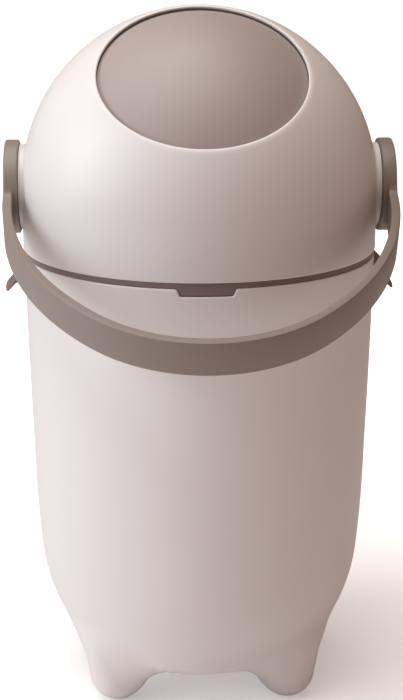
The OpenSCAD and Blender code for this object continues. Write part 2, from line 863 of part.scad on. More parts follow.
bucket();
foot_pads();
side_grip_left();
side_grip_right();
bag_ring();
hinge_pin();
dome_shell();
base_ring();
hatch_seal();
ball_seal();
rim_seal();
bush_left();
bush_right();
base_screws();
handle();
axle_left();
axle_right();
cup_shell();
cup_collar();
hub_screws();
hub_cap_left();
hub_cap_right();
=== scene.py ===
"""Nappy bin with a ball airlock: smooth mouldings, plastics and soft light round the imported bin.

Sizes are in millimetres in the bin's own frame: the floor is z = 0 and the front faces -Y.
Points become metres when a mesh is made.
"""

from __future__ import annotations

import logging
import math
from dataclasses import dataclass, field
from enum import Enum
from typing import Callable, Sequence

import bpy
import numpy as np
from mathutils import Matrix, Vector


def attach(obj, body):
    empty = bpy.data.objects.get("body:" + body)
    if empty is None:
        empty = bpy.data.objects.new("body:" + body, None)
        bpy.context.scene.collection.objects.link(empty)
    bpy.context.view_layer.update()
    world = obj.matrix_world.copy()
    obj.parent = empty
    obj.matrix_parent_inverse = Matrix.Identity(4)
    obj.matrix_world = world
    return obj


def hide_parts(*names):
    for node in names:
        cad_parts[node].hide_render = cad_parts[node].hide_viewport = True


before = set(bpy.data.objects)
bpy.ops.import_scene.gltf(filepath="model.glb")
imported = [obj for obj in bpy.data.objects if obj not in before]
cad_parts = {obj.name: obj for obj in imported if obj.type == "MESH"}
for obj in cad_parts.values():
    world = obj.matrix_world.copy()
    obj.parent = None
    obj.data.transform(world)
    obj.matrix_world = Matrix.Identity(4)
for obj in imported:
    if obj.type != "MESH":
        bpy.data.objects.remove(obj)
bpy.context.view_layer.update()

LOG = logging.getLogger("nappy_bin")
Array = np.ndarray
MM = 0.001

MERGE = 2000  # corners are one when they agree to 1 / MERGE mm
CREASE = 40.0  # degrees past which an edge is shaded sharp


class Body(Enum):
    """The bodies that move against each other."""

    BASE = "base"
    HEAD = "head"
    ROTOR = "rotor"


class Side(Enum):
    """Left or right of the bin, as the sign of x."""

    LEFT = -1.0
    RIGHT = 1.0


# ---- curves


def unit(v: Array) -> Array:
    """Vectors scaled to length 1 along the last axis."""
    return v / np.maximum(np.linalg.norm(v, axis=-1, keepdims=True), 1e-12)


def smoothstep(x: Array) -> Array:
    """Eases from 0 to 1: 3x^2 - 2x^3, clamped."""
    x = np.clip(x, 0.0, 1.0)
    return x * x * (3.0 - 2.0 * x)


def spline(xs: Sequence[float], ys: Sequence[float]) -> Callable[[Array], Array]:
    """Natural cubic spline through points.

    The second derivatives m solve the usual tridiagonal system, and each span is the
    cubic that has them at its ends.

    Args:
        xs: rising positions.
        ys: values at them.

    Returns:
        A function of position.
    """
    x, y = np.asarray(xs, float), np.asarray(ys, float)
    h = np.diff(x)
    n = len(x)
    a = np.eye(n)
    i = np.arange(1, n - 1)
    a[i, i - 1], a[i, i], a[i, i + 1] = h[:-1], 2 * (h[:-1] + h[1:]), h[1:]
    rhs = np.zeros(n)
    rhs[1:-1] = 6 * (np.diff(y)[1:] / h[1:] - np.diff(y)[:-1] / h[:-1])
    m = np.linalg.solve(a, rhs)

    def at(t: Array) -> Array:
        """The spline's value at t.

        Args:
            t: positions.

        Returns:
            Its values there.
        """
        k = np.clip(np.searchsorted(x, t) - 1, 0, n - 2)
        u, w = x[k + 1] - t, t - x[k]
        cubic = (m[k] * u**3 + m[k + 1] * w**3) / (6 * h[k])
        return cubic + (y[k] / h[k] - m[k] * h[k] / 6) * u + (y[k + 1] / h[k] - m[k + 1] * h[k] / 6) * w

    return at


def rounded(corners: Sequence[Sequence[float]], radii: Sequence[float], steps: int = 6,
            closed: bool = True) -> Array:
    """Polyline with its corners turned into arcs.

    Each corner c gives way to the arc of radius r that touches both sides: its centre lies on
    the bisector, r / sin(half the corner) from c, and its ends r / tan(half the corner).

    Args:
        corners: corner points in order.
        radii: one radius per corner, 0 for a sharp one.
        steps: spans of each arc.
        closed: whether the last point joins the first.

    Returns:
        Points, with both ends kept sharp on an open line.
    """
    c = np.asarray(corners, float)
    r = np.maximum(np.asarray(radii, float), 1e-5)[:, None]
    a, b = unit(np.roll(c, 1, 0) - c), unit(np.roll(c, -1, 0) - c)
    half = np.arccos(np.clip((a * b).sum(-1, keepdims=True), -1, 1)) / 2
    half = np.clip(half, 1e-3, math.pi / 2 - 1e-4)
    centre = c + unit(a + b) * r / np.sin(half)
    start, end = c + a * r / np.tan(half) - centre, c + b * r / np.tan(half) - centre
    turn = (math.pi - 2 * half)[:, None, :]
    t = np.linspace(0, 1, steps + 1)[None, :, None]
    arc = (np.sin((1 - t) * turn) * start[:, None] + np.sin(t * turn) * end[:, None]) / np.sin(turn)
    pts = centre[:, None] + arc
    if closed:
        return pts.reshape(-1, 2)
    return np.vstack([c[:1], pts[1:-1].reshape(-1, 2), c[-1:]])


def arc(centre: Sequence[float], radius: float, start: float, stop: float, steps: int) -> Array:
    """Points on a circle: centre + radius (cos a, sin a) from start to stop degrees."""
    a = np.radians(np.linspace(start, stop, steps + 1))
    return np.stack([centre[0] + radius * np.cos(a), centre[1] + radius * np.sin(a)], -1)


# ---- surfaces


@dataclass
class Skin:
    """A closed surface as a grid of points.

    Attributes:
        points: rows x columns x 3, in millimetres.
        wrap_rows: whether the last row joins the first.
        wrap_cols: whether the last column joins the first.
    """

    points: Array
    wrap_rows: bool = False
    wrap_cols: bool = True

    def quads(self) -> Array:
        """Corner indices of the grid's faces, four to a face.

        Returns:
            One row of four indices per face.
        """
        rows, cols = self.points.shape[:2]
        r = np.arange(rows if self.wrap_rows else rows - 1)
        c = np.arange(cols if self.wrap_cols else cols - 1)
        r0, c0 = np.meshgrid(r, c, indexing="ij")
        r1, c1 = (r0 + 1) % rows, (c0 + 1) % cols
        q = np.stack([r0 * cols + c0, r0 * cols + c1, r1 * cols + c1, r1 * cols + c0], -1)
        return q.reshape(-1, 4)


@dataclass
class Axle:
    """A place and three directions that a profile is spun about.

    A profile point (r, h) at angle a lies at origin + r (cos a u + sin a v) + h w.

    Attributes:
        origin: where heights start.
        u: direction at angle 0.
        v: direction at 90 degrees.
        w: direction of heights.
    """

    origin: tuple[float, float, float] = (0.0, 0.0, 0.0)
    u: tuple[float, float, float] = (1.0, 0.0, 0.0)
    v: tuple[float, float, float] = (0.0, 1.0, 0.0)
    w: tuple[float, float, float] = (0.0, 0.0, 1.0)

    def spin(self, profile: Array, columns: int, closed: bool = False) -> Skin:
        """Spins a profile once round.

        Args:
            profile: n x 2 array of (r, h).
            columns: steps round the turn.
            closed: whether the profile is a loop.

        Returns:
            The surface, with rows along the profile.
        """
        a = np.linspace(0, 2 * math.pi, columns, endpoint=False)
        out = np.cos(a)[:, None] * np.array(self.u) + np.sin(a)[:, None] * np.array(self.v)
        pts = profile[:, 0, None, None] * out + profile[:, 1, None, None] * np.array(self.w)
        return Skin(pts + np.array(self.origin), wrap_rows=closed)


def slab(outline: Array, depth: float, edge: float, place: Callable[[Array, Array, Array], Array],
         steps: int = 4, spans: int = 1) -> Skin:
    """A plate with a rounded edge all round, on any outline that its middle can see all of.

    The outline is drawn in by edge (1 - cos t) along its own normals while the face drops by
    edge (1 - sin t), which rounds both edges, and each face closes on the outline's middle.

    Args:
        outline: n x 2 closed outline.
        depth: thickness.
        edge: radius of the rounded edges.
        place: turns outline coordinates and depth into points.
        steps: spans of each rounded edge.
        spans: spans across the flat part of the edge.

    Returns:
        The closed surface.
    """
    ahead, behind = np.roll(outline, -1, 0), np.roll(outline, 1, 0)
    tangent = unit(ahead - behind)
    area = 0.5 * np.sum(outline[:, 0] * ahead[:, 1] - ahead[:, 0] * outline[:, 1])
    normal = np.stack([tangent[:, 1], -tangent[:, 0]], -1) * (1 if area > 0 else -1)
    t = np.linspace(0, math.pi / 2, steps + 1)
    inset = np.concatenate([edge * (1 - np.sin(t)), edge * (1 - np.cos(t))])
    level = np.concatenate([depth / 2 - edge * (1 - np.cos(t)), -depth / 2 + edge * (1 - np.sin(t))])
    if spans > 1:
        mid = np.linspace(level[steps], level[steps + 1], spans + 1)[1:-1]
        level = np.concatenate([level[: steps + 1], mid, level[steps + 1:]])
        inset = np.concatenate([inset[: steps + 1], np.zeros(spans - 1), inset[steps + 1:]])
    ring = outline[None] - inset[:, None, None] * normal[None]
    middle = np.broadcast_to(outline.mean(0), ring[:1].shape)
    ring = np.concatenate([middle, ring, middle])
    level = np.concatenate([level[:1], level, level[-1:]])
    return Skin(place(ring[..., 0], ring[..., 1], np.broadcast_to(level[:, None], ring.shape[:2])))


def put(name: str, data: bpy.types.ID | None) -> bpy.types.Object:
    """A new object in the scene, at the origin.

    Args:
        name: its name.
        data: the mesh, lamp or camera that it shows.

    Returns:
        The object.
    """
    thing = bpy.data.objects.new(name, data)
    bpy.context.scene.collection.objects.link(thing)
    return thing


def make_piece(name: str, skins: Sequence[Skin], body: Body, finish: bpy.types.Material,
               nodes: Sequence[str] = ()) -> None:
    """One mesh object from closed surfaces, facing outward.

    Equal corners are merged, faces that lose a side become triangles, and a surface whose
    signed volume, the sum of a . (b x c) / 6 over its triangles, is negative is turned round.

    Args:
        name: the piece's name.
        skins: the closed surfaces.
        body: what it moves with.
        finish: its material.
        nodes: solids that it stands for.
    """
    points, faces, base = [], [], 0
    for skin in skins:
        p, q = skin.points.reshape(-1, 3), skin.quads()
        a, b, c, d = (p[q[:, i]] for i in range(4))
        volume = np.einsum("ij,ij->", a, np.cross(b, c)) + np.einsum("ij,ij->", a, np.cross(c, d))
        points.append(p)
        faces.append((q if volume > 0 else q[:, ::-1]) + base)
        base += len(p)
    p, q = np.vstack(points), np.vstack(faces)
    spots = np.round(p * MERGE).astype(np.int64)
    _, first, where = np.unique(spots, axis=0, return_index=True, return_inverse=True)
    p, q = p[first] * MM, where.reshape(-1)[q]
    same = q == np.roll(q, -1, 1)
    whole = q[~same.any(1)]
    one = same.sum(1) == 1
    tri = np.array([[1, 2, 3], [0, 2, 3], [0, 1, 3], [0, 1, 2]])[np.argmax(same[one], 1)]
    thirds = np.take_along_axis(q[one], tri, 1)
    corners = np.concatenate([whole.reshape(-1), thirds.reshape(-1)]).astype(np.int32)
    sizes = np.concatenate([np.full(len(whole), 4), np.full(len(thirds), 3)]).astype(np.int32)
    mesh = bpy.data.meshes.new(name)
    mesh.vertices.add(len(p))
    mesh.vertices.foreach_set("co", p.astype(np.float32).reshape(-1))
    mesh.loops.add(len(corners))
    mesh.loops.foreach_set("vertex_index", corners)
    mesh.polygons.add(len(sizes))
    mesh.polygons.foreach_set("loop_start", (np.cumsum(sizes) - sizes).astype(np.int32))
    mesh.update(calc_edges=True)
    mesh.validate()
    mesh.polygons.foreach_set("use_smooth", np.ones(len(mesh.polygons), bool))
    mesh.set_sharp_from_angle(angle=math.radians(CREASE))
    mesh.materials.append(finish)
    piece = put(name, mesh)
    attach(piece, body.value)
    if nodes:
        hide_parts(*nodes)
    LOG.info("%s: %d faces on %s", name, len(mesh.polygons), body.value)


# ---- finishes


class Recipe:
    """A node material under construction."""

    def __init__(self, name: str) -> None:
        """Starts a material with a principled shader and its output.

        Args:
            name: the material's name.
        """
        self.material = bpy.data.materials.new(name)
        self.material.use_nodes = True
        self.tree = self.material.node_tree
        self.tree.nodes.clear()
        self.shader = self.node("ShaderNodeBsdfPrincipled")
        self.link(self.shader.outputs["BSDF"], self.node("ShaderNodeOutputMaterial").inputs["Surface"])

    def node(self, kind: str, **values: object) -> bpy.types.Node:
        """Adds a node and sets its properties or input sockets by name.

        Args:
            kind: Blender's name for the kind of node.
            values: what to set, with _ for each space in a socket's name.

        Returns:
            The node.
        """
        made = self.tree.nodes.new(kind)
        for key, value in values.items():
            if hasattr(made, key):
                setattr(made, key, value)
            else:
                made.inputs[key.replace("_", " ")].default_value = value
        return made

    def link(self, source: bpy.types.NodeSocket, target: bpy.types.NodeSocket) -> None:
        """Joins two sockets."""
        self.tree.links.new(source, target)

    def constants(self, **values: object) -> None:
        """Sets shader sockets, by name, that are the same all over."""
        for key, value in values.items():
            self.shader.inputs[key.replace("_", " ")].default_value = value

    def product(self, a: bpy.types.NodeSocket, b: bpy.types.NodeSocket) -> bpy.types.NodeSocket:
        """One value times another.

        Args:
            a: one value.
            b: the other.

        Returns:
            The product's socket.
        """
        made = self.node("ShaderNodeMath", operation="MULTIPLY")
        self.link(a, made.inputs[0])
        self.link(b, made.inputs[1])
        return made.outputs[0]

    def noise(self, scale: float, detail: float = 3.0, rough: float = 0.5,
              stretch: tuple[float, float, float] | None = None) -> bpy.types.NodeSocket:
        """Noise in object coordinates.

        Args:
            scale: cycles per metre, roughly.
            detail: octaves.
            rough: weight of the finer octaves.
            stretch: scale of each axis before the noise.

        Returns:
            Its value socket.
        """
        place = self.node("ShaderNodeTexCoord").outputs["Object"]
        if stretch:
            mapping = self.node("ShaderNodeMapping", Scale=stretch)
            self.link(place, mapping.inputs["Vector"])
            place = mapping.outputs["Vector"]
        made = self.node("ShaderNodeTexNoise", Scale=scale, Detail=detail, Roughness=rough)
        self.link(place, made.inputs["Vector"])
        return made.outputs["Fac"]

    def ramp(self, value: bpy.types.NodeSocket, low: float, high: float, out_low: float = 0.0,
             out_high: float = 1.0) -> bpy.types.NodeSocket:
        """Maps low..high of a value to out_low..out_high, clamped.

        Args:
            value: the value.
            low: where the change starts.
            high: where it ends.
            out_low: the result at low.
            out_high: the result at high.

        Returns:
            The result's socket.
        """
        made = self.node("ShaderNodeMapRange")
        for key, number in (("From Min", low), ("From Max", high), ("To Min", out_low), ("To Max", out_high)):
            made.inputs[key].default_value = number
        self.link(value, made.inputs["Value"])
        return made.outputs["Result"]

    def blend(self, factor: bpy.types.NodeSocket, a: object, b: object) -> bpy.types.NodeSocket:
        """Mixes two colours, each a colour or a socket, by a factor.

        Args:
            factor: 0 for a, 1 for b.
            a: the first colour.
            b: the second colour.

        Returns:
            The colour's socket.
        """
        made = self.node("ShaderNodeMix", data_type="RGBA")
        self.link(factor, made.inputs["Factor"])
        for key, colour in (("A", a), ("B", b)):
            socket = next(s for s in made.inputs if s.name == key and s.type == "RGBA")
            if isinstance(colour, bpy.types.NodeSocket):
                self.link(colour, socket)
            else:
                socket.default_value = (*colour, 1.0)
        return next(s for s in made.outputs if s.type == "RGBA")

    def bumps(self, heights: Sequence[tuple[bpy.types.NodeSocket, float]]) -> None:
        """Stacks bump layers, each a height socket and its depth in metres, onto the shader's normal.

        Args:
            heights: the layers, lowest first.
        """
        normal = None
        for height, depth in heights:
            made = self.node("ShaderNodeBump", Strength=1.0, Distance=depth)
            self.link(height, made.inputs["Height"])
            if normal:
                self.link(normal, made.inputs["Normal"])
            normal = made.outputs["Normal"]
        self.link(normal, self.shader.inputs["Normal"])


def shade(colour: Sequence[float], by: float) -> tuple[float, ...]:
    """A colour made lighter or darker by a factor."""
    return tuple(min(1.0, c * by) for c in colour)


@dataclass(frozen=True)
class MouldedPlastic:
    """Injection-moulded plastic: fine spark grain, faint flow marks, sharp edges made lighter (rubbed wear,
    and partly a painted highlight on lit edges) and dull patches.

    Attributes:
        name: the material's name.
        colour: linear colour.
        rough: roughness between dull patches.
        grain: depth of the spark grain in millimetres.
        cast: linear colour of the faint flow marks.
        coat: share of clear gloss on top.
        wear_and_highlight: how much lighter the sharp edges are made, as rubbed wear and partly as a painted
            highlight where edges catch the light.
    """

    name: str
    colour: tuple[float, float, float]
    rough: float = 0.38
    grain: float = 0.02
    cast: tuple[float, float, float] | None = None
    coat: float = 0.0
    wear_and_highlight: float = 1.12

    def make(self) -> bpy.types.Material:
        """Builds the material.

        Returns:
            The material.
        """
        r = Recipe(self.name)
        flow = r.ramp(r.noise(9.0, 4.0, 0.55, (1.0, 1.0, 0.45)), 0.35, 0.68)
        base = r.blend(flow, self.colour, self.cast or shade(self.colour, 0.955))
        # sharp edges, found by pointiness, are painted lighter in patches: partly rubbed wear, partly a
        # painted highlight on lit edges
        rubbed = r.node("ShaderNodeNewGeometry").outputs["Pointiness"]
        edge = r.ramp(rubbed, 0.515, 0.60)
        wear_and_highlight_mask = r.product(edge, r.ramp(r.noise(70.0, 3.0), 0.35, 0.65, 0.25, 0.9))
        r.link(r.blend(wear_and_highlight_mask, base, shade(self.colour, self.wear_and_highlight)), r.shader.inputs["Base Color"])
        dull = r.ramp(r.noise(26.0, 5.0, 0.6), 0.3, 0.7, self.rough - 0.035, self.rough + 0.05)
        r.link(dull, r.shader.inputs["Roughness"])
        r.constants(IOR=1.49, Coat_Weight=self.coat, Coat_Roughness=0.25)
        r.bumps([(r.noise(2600.0, 2.0, 0.6), self.grain * MM), (r.noise(14.0, 2.0, 0.4), 0.10 * MM)])
        return r.material


@dataclass(frozen=True)
class SoftRubber:
    """Matt rubber with dust in its fine pits.

    Attributes:
        name: the material's name.
        colour: linear colour.
        rough: middle of its roughness.
    """

    name: str
    colour: tuple[float, float, float]
    rough: float = 0.72

    def make(self) -> bpy.types.Material:
        """Builds the material.

        Returns:
            The material.
        """
        r = Recipe(self.name)
        dust = r.ramp(r.noise(120.0, 4.0, 0.65), 0.45, 0.75)
        r.link(r.blend(dust, self.colour, shade(self.colour, 1.5)), r.shader.inputs["Base Color"])
        dull = r.ramp(r.noise(60.0, 3.0), 0.3, 0.7, self.rough - 0.08, self.rough + 0.1)
        r.link(dull, r.shader.inputs["Roughness"])
        r.constants(Sheen_Weight=0.15, Sheen_Roughness=0.4)
        r.bumps([(r.noise(1500.0, 3.0, 0.6), 0.03 * MM)])
        return r.material


@dataclass(frozen=True)
class TurnedSteel:
    """Plain steel with turning marks and a slight stain.

    Attributes:
        name: the material's name.
        colour: linear colour.
        rough: middle of its roughness.
    """

    name: str
    colour: tuple[float, float, float]
    rough: float = 0.3

    def make(self) -> bpy.types.Material:
        """Builds the material.

        Returns:
            The material.
        """
        r = Recipe(self.name)
        stain = r.ramp(r.noise(90.0, 4.0, 0.6), 0.4, 0.75)
        r.link(r.blend(stain, self.colour, shade(self.colour, 0.72)), r.shader.inputs["Base Color"])
        r.constants(Metallic=1.0)
        marks = r.noise(900.0, 2.0, 0.5, (1.0, 8.0, 8.0))
        r.link(r.ramp(marks, 0.3, 0.7, self.rough - 0.08, self.rough + 0.14), r.shader.inputs["Roughness"])
        r.bumps([(marks, 0.01 * MM)])
        return r.material


@dataclass
class Finishes:
    """Every finish on the bin, made once.

    Attributes:
        shell: bucket and dome.
        taupe: handle, caps and bag ring.
        ball: the turning ball.
        band: the ring between dome and bucket, and the grips.
        seal: the three seals.
        pad: the pads under the feet.
        bush: bushes and axle stubs.
        steel: hinge pin and screws.
    """

    shell: bpy.types.Material = field(init=False)
    taupe: bpy.types.Material = field(init=False)
    ball: bpy.types.Material = field(init=False)
    band: bpy.types.Material = field(init=False)
    seal: bpy.types.Material = field(init=False)
    pad: bpy.types.Material = field(init=False)
    bush: bpy.types.Material = field(init=False)
    steel: bpy.types.Material = field(init=False)

    def __post_init__(self) -> None:
        """Builds the materials."""
        white = (0.86, 0.835, 0.815)
        brown = (0.28, 0.23, 0.20)
        flow = shade(white, 0.975)
        self.shell = MouldedPlastic("white_shell", white, 0.42, 0.006, flow, coat=0.15, wear_and_highlight=1.06).make()
        # the handle's edges are lightened most, partly as a painted highlight on the strap's lit top edge
        self.taupe = MouldedPlastic("taupe_handle", brown, 0.42, 0.02, wear_and_highlight=1.3).make()
        self.ball = MouldedPlastic("taupe_ball", (0.44, 0.38, 0.355), 0.48, 0.012, wear_and_highlight=1.1).make()
        self.band = MouldedPlastic("taupe_band", (0.25, 0.20, 0.18), 0.5, 0.02, wear_and_highlight=1.25).make()
        self.seal = SoftRubber("seal_rubber", (0.07, 0.062, 0.058)).make()
        self.pad = SoftRubber("pad_rubber", (0.10, 0.10, 0.105)).make()
        self.bush = MouldedPlastic("bush_plastic", (0.68, 0.64, 0.55), 0.3, 0.004).make()
        self.steel = TurnedSteel("screw_steel", (0.60, 0.60, 0.61)).make()


# ---- the bin


@dataclass(frozen=True)
class Sizes:
    """Sizes that more than one sub-assembly needs, in millimetres.

    Attributes:
        axis_y: place of the bucket's axis along y.
        seam_z: height of the seam that the dome stands on.
        rim_z: height of the bucket's rim.
        pivot_z: height of the handle's axis.
        dome_r: outer radius of the dome.
        dome_wall: its thickness.
        ball_r: outer radius of the ball.
        ball_wall: its thickness.
        hatch_elev: elevation of the hatch's axis in degrees.
        disc_in: inner face of a handle's disc, from the middle.
        disc_out: its outer face.
        hang: how far the handle hangs below level, in degrees.
        hinge_y: distance of the hinge pin behind the bucket's axis.
        hinge_z: its height.
        notch_top: width of the notch at the rim.
        notch_floor: its width at the floor.
        notch_depth: its depth.
        knuckle_r: radius of the hinge knuckles.
    """

    axis_y: float = 34.4515
    seam_z: float = 393.0
    rim_z: float = 388.0
    pivot_z: float = 443.0
    dome_r: float = 150.0
    dome_wall: float = 3.0
    ball_r: float = 145.5
    ball_wall: float = 2.5
    hatch_elev: float = 54.0
    disc_in: float = 151.5
    disc_out: float = 163.0
    hang: float = 21.5
    hinge_y: float = 157.0
    hinge_z: float = 390.5
    notch_top: float = 46.4
    notch_floor: float = 42.0
    notch_depth: float = 5.9
    knuckle_r: float = 5.5

    def on_axis(self, points: Array) -> Array:
        """Moves points from the bucket's axis to its place in the frame."""
        return points + np.array([0.0, self.axis_y, 0.0])

    def cross(self, side: Side) -> Axle:
        """Spins about the handle's axis, with heights measured out to one side."""
        pivot = (0.0, self.axis_y, self.pivot_z)
        return Axle(pivot, (0.0, 1.0, 0.0), (0.0, 0.0, 1.0), (side.value, 0.0, 0.0))

    def notch(self, angle: Array, inset: float = 0.0) -> Array:
        """Depth of the notch in the rim at an angle round the bin.

        The sides slope evenly from the mouth's width to the floor's, and both corners are eased.

        Args:
            angle: angle in radians, with the front at -90 degrees.
            inset: how far the notch's outline is drawn in.

        Returns:
            Depth below the rim, 0 outside the notch.
        """
        x = np.abs(self.dome_r * np.where(np.sin(angle) < 0, np.cos(angle), 2.0))
        run = (self.notch_top - self.notch_floor) / 2
        t = (self.notch_top / 2 - inset - x) / run
        soft = 0.22
        hard = np.clip(t, 0, 1)
        ease = soft * (np.exp(-np.abs(t) / soft) - np.exp(-np.abs(t - 1) / soft)) * 0.5
        return np.maximum(self.notch_depth - inset, 0) * np.clip(hard + ease, 0, 1)


def round_union(a: Array, b: Array, k: Array) -> Array:
    """Joins two distance fields with a fillet of radius k.

    Where both are nearer than k the result is k minus the length of (k - a, k - b).
    """
    return np.maximum(k, np.minimum(a, b)) - np.hypot(np.maximum(k - a, 0), np.maximum(k - b, 0))


def round_meet(a: Array, b: Array, k: float) -> Array:
    """Intersects two distance fields with an outer rounding of radius k."""
    return np.minimum(-k, np.maximum(a, b)) + np.hypot(np.maximum(a + k, 0), np.maximum(b + k, 0))


@dataclass
class Bucket:
    """The bucket with its feet, rim, notch, ledge and hinge ears.

    Attributes:
        s: shared sizes.
        wall: thickness.
        underside: height of the underside.
        edge: rounding round the underside.
        foot_ring: distance of the feet from the axis.
        foot_bearing: bearing of the feet from the front, in degrees.
        tip_r: radius of a foot's tip.
        tip_z: height of that radius's centre.
        tip_lift: height of the flat under a foot.
        lean: lean of a foot's side in degrees.
        flare: growth of a foot's side above flare_z, per mm squared.
        flare_z: height where that growth starts.
        blend: least fillet between foot and bucket.
        fillet: what the fillet gains where their faces run crosswise.
        ledge_r: inner radius of the ledge that carries the bag ring.
        ear_in: where a hinge ear starts, from the middle.
        ear_w: width of a hinge ear.
        columns: columns round the bucket.
        top_z: height up to which the surface is settled on the field.
    """

    s: Sizes
    wall: float = 3.0
    underside: float = 38.9
    edge: float = 12.0
    foot_ring: float = 100.4
    foot_bearing: float = 48.0
    tip_r: float = 24.0
    tip_z: float = 23.4
    tip_lift: float = 0.8
    lean: float = 9.3
    flare: float = 0.012
    flare_z: float = 48.0
    blend: float = 6.0
    fillet: float = 36.0
    ledge_r: float = 143.2
    ear_in: float = 14.3
    ear_w: float = 15.7
    columns: int = 420
    top_z: float = 150.0

    def __post_init__(self) -> None:
        """Tabulates the side's outline and its slope."""
        heights = (20, 30, 44, 54, 65, 75, 85, 95, 105, 125, 144, 163, 201, 275, 329, 388)
        radii = (109.5, 112.4, 116.2, 119.5, 123.7, 128.2, 132.2, 135.4,
                 137.9, 140.9, 142.5, 143.8, 145.2, 147.3, 148.5, 149.5)
        self.z_table = np.linspace(20, 388, 1800)
        self.r_table = spline(heights, radii)(self.z_table)
        self.slope = np.gradient(self.r_table, self.z_table)

    def side_r(self, z: Array) -> Array:
        """Outer radius at a height."""
        return np.interp(z, self.z_table, self.r_table)

    def from_foot(self, p: Array) -> tuple[Array, Array]:
        """How far points lie from the nearest foot's middle, across and along the bin.

        Args:
            p: points about the bucket's axis.

        Returns:
            Both distances, negative towards the axis.
        """
        a = math.radians(self.foot_bearing)
        across, along = self.foot_ring * math.sin(a), self.foot_ring * math.cos(a)
        return np.abs(p[..., 0]) - across, np.abs(p[..., 1]) - along

    def field(self, p: Array) -> Array:
        """Signed distance to the outside of bucket and feet, negative inside.

        The bucket is its side and its underside met with a rounding. A foot is a cone with a
        ball tip, cut flat. They join with a fillet that fades where their faces run the same
        way, so the outer side of a foot flows into the bucket's side.

        Args:
            p: points about the bucket's axis.

        Returns:
            Distances.
        """
        x, y, z = p[..., 0], p[..., 1], p[..., 2]
        rho = np.hypot(x, y)
        slope = np.interp(z, self.z_table, self.slope)
        cosine = 1 / np.hypot(1, slope)
        side, bottom = (rho - self.side_r(z)) * cosine, self.underside - z
        body = round_meet(side, bottom, self.edge)
        fx, fy = self.from_foot(p)
        away = np.hypot(fx, fy)
        lean = math.radians(self.lean)
        along = away * math.sin(lean) + (z - self.tip_z) * math.cos(lean)
        cone = away * math.cos(lean) - (z - self.tip_z) * math.sin(lean) - self.tip_r
        cone = cone + self.flare * np.maximum(z - self.flare_z, 0) ** 2
        ball = np.hypot(away, z - self.tip_z) - self.tip_r
        foot = round_meet(np.where(along < 0, ball, cone), self.tip_lift - z, 3.0)
        u, v = np.maximum(side + self.edge, 0), np.maximum(bottom + self.edge, 0)
        u, v = np.where(u + v > 0, u, 1.0), np.where(u + v > 0, v, 0.0)
        radial = (np.abs(x) * fx + np.abs(y) * fy) / np.maximum(rho * away, 1e-6)
        outward = cosine * radial * math.cos(lean) + slope * cosine * math.sin(lean)
        same = (u * outward + v * math.sin(lean)) / np.hypot(u, v)
        k = self.blend + self.fillet * (1 - np.clip(same, 0, 1))
        return round_union(body, foot, k)

    def normal(self, p: Array) -> tuple[Array, Array]:
        """The field and its gradient by forward differences of 0.02 mm.

        Args:
            p: points about the bucket's axis.

        Returns:
            The distances and their gradients.
        """
        f = self.field(p)
        h = 0.02
        g = np.stack([(self.field(p + h * np.eye(3)[i]) - f) / h for i in range(3)], -1)
        return f, g

    def settle(self, p: Array) -> Array:
        """One Newton step onto the surface, p - f g / |g|^2, kept under 3 mm.

        Args:
            p: points near the surface.

        Returns:
            The moved points.
        """
        f, g = self.normal(p)
        step = f[..., None] * g / np.maximum((g * g).sum(-1, keepdims=True), 0.05)
        size = np.linalg.norm(step, axis=-1, keepdims=True)
        return p - step * np.minimum(1, 3.0 / np.maximum(size, 1e-9))

    def angles(self) -> Array:
        """Column angles, closer together at the notch's sides.

        Returns:
            Angles in radians, rising from -pi.
        """
        a = np.linspace(-math.pi, math.pi, 4001)
        edge = math.asin((self.s.notch_top + self.s.notch_floor) / 4 / self.s.dome_r)
        near = sum(np.exp(-(((a + math.pi / 2 - s * edge) / 0.018) ** 2)) for s in (-1, 1))
        fill = np.concatenate([[0], np.cumsum(1 + 7 * (near[1:] + near[:-1]) / 2)])
        return np.interp(np.linspace(0, fill[-1], self.columns, endpoint=False), fill, a)

    def lower(self, angles: Array) -> Array:
        """The outside from the middle of the underside up to top_z, feet and fillets included.

        A grid of rings is pressed onto the field, while each point also drifts to the mean of
        its four neighbours, so the rings spread evenly over the feet.

        Args:
            angles: column angles.

        Returns:
            Points about the axis, rings from the middle up.
        """
        corner = float(self.side_r(np.array(self.underside)))
        flat = np.linspace(0, corner - self.edge, 58)
        turn = arc((corner - self.edge, self.underside + self.edge), self.edge, -90, -25, 8)[1:]
        rise = np.linspace(turn[-1, 1], self.top_z, 34)[1:]
        r = np.concatenate([flat, turn[:, 0], self.side_r(rise)])
        z = np.concatenate([np.full(len(flat), self.underside), turn[:, 1], rise])
        p = np.stack([r[:, None] * np.cos(angles), r[:, None] * np.sin(angles),
                      np.broadcast_to(z[:, None], (len(r), len(angles)))], -1)
        # a first guess: the grid hangs down where a foot will be
        away = np.hypot(*self.from_foot(p))
        drop = np.interp(away, [0, 9, 16, 24, 30], [42.2, 42, 38, 22, 0])
        p[..., 2] -= np.where(p[..., 2] < self.underside + 14, drop, 0)
        rounds = 110
        for _ in range(rounds):
            mean = (np.roll(p, 1, 1) + np.roll(p, -1, 1))[1:-1] * 0.25 + (p[2:] + p[:-2]) * 0.25
            p[1:-1] = p[1:-1] * 0.45 + mean * 0.55
            p[0] = p[1].mean(0) * np.array([0, 0, 1.0])
            p[1:-1] = self.settle(p[1:-1])
        for _ in range(4):
            p[1:-1] = self.settle(p[1:-1])
        p[0] = (0, 0, self.underside)
        return p

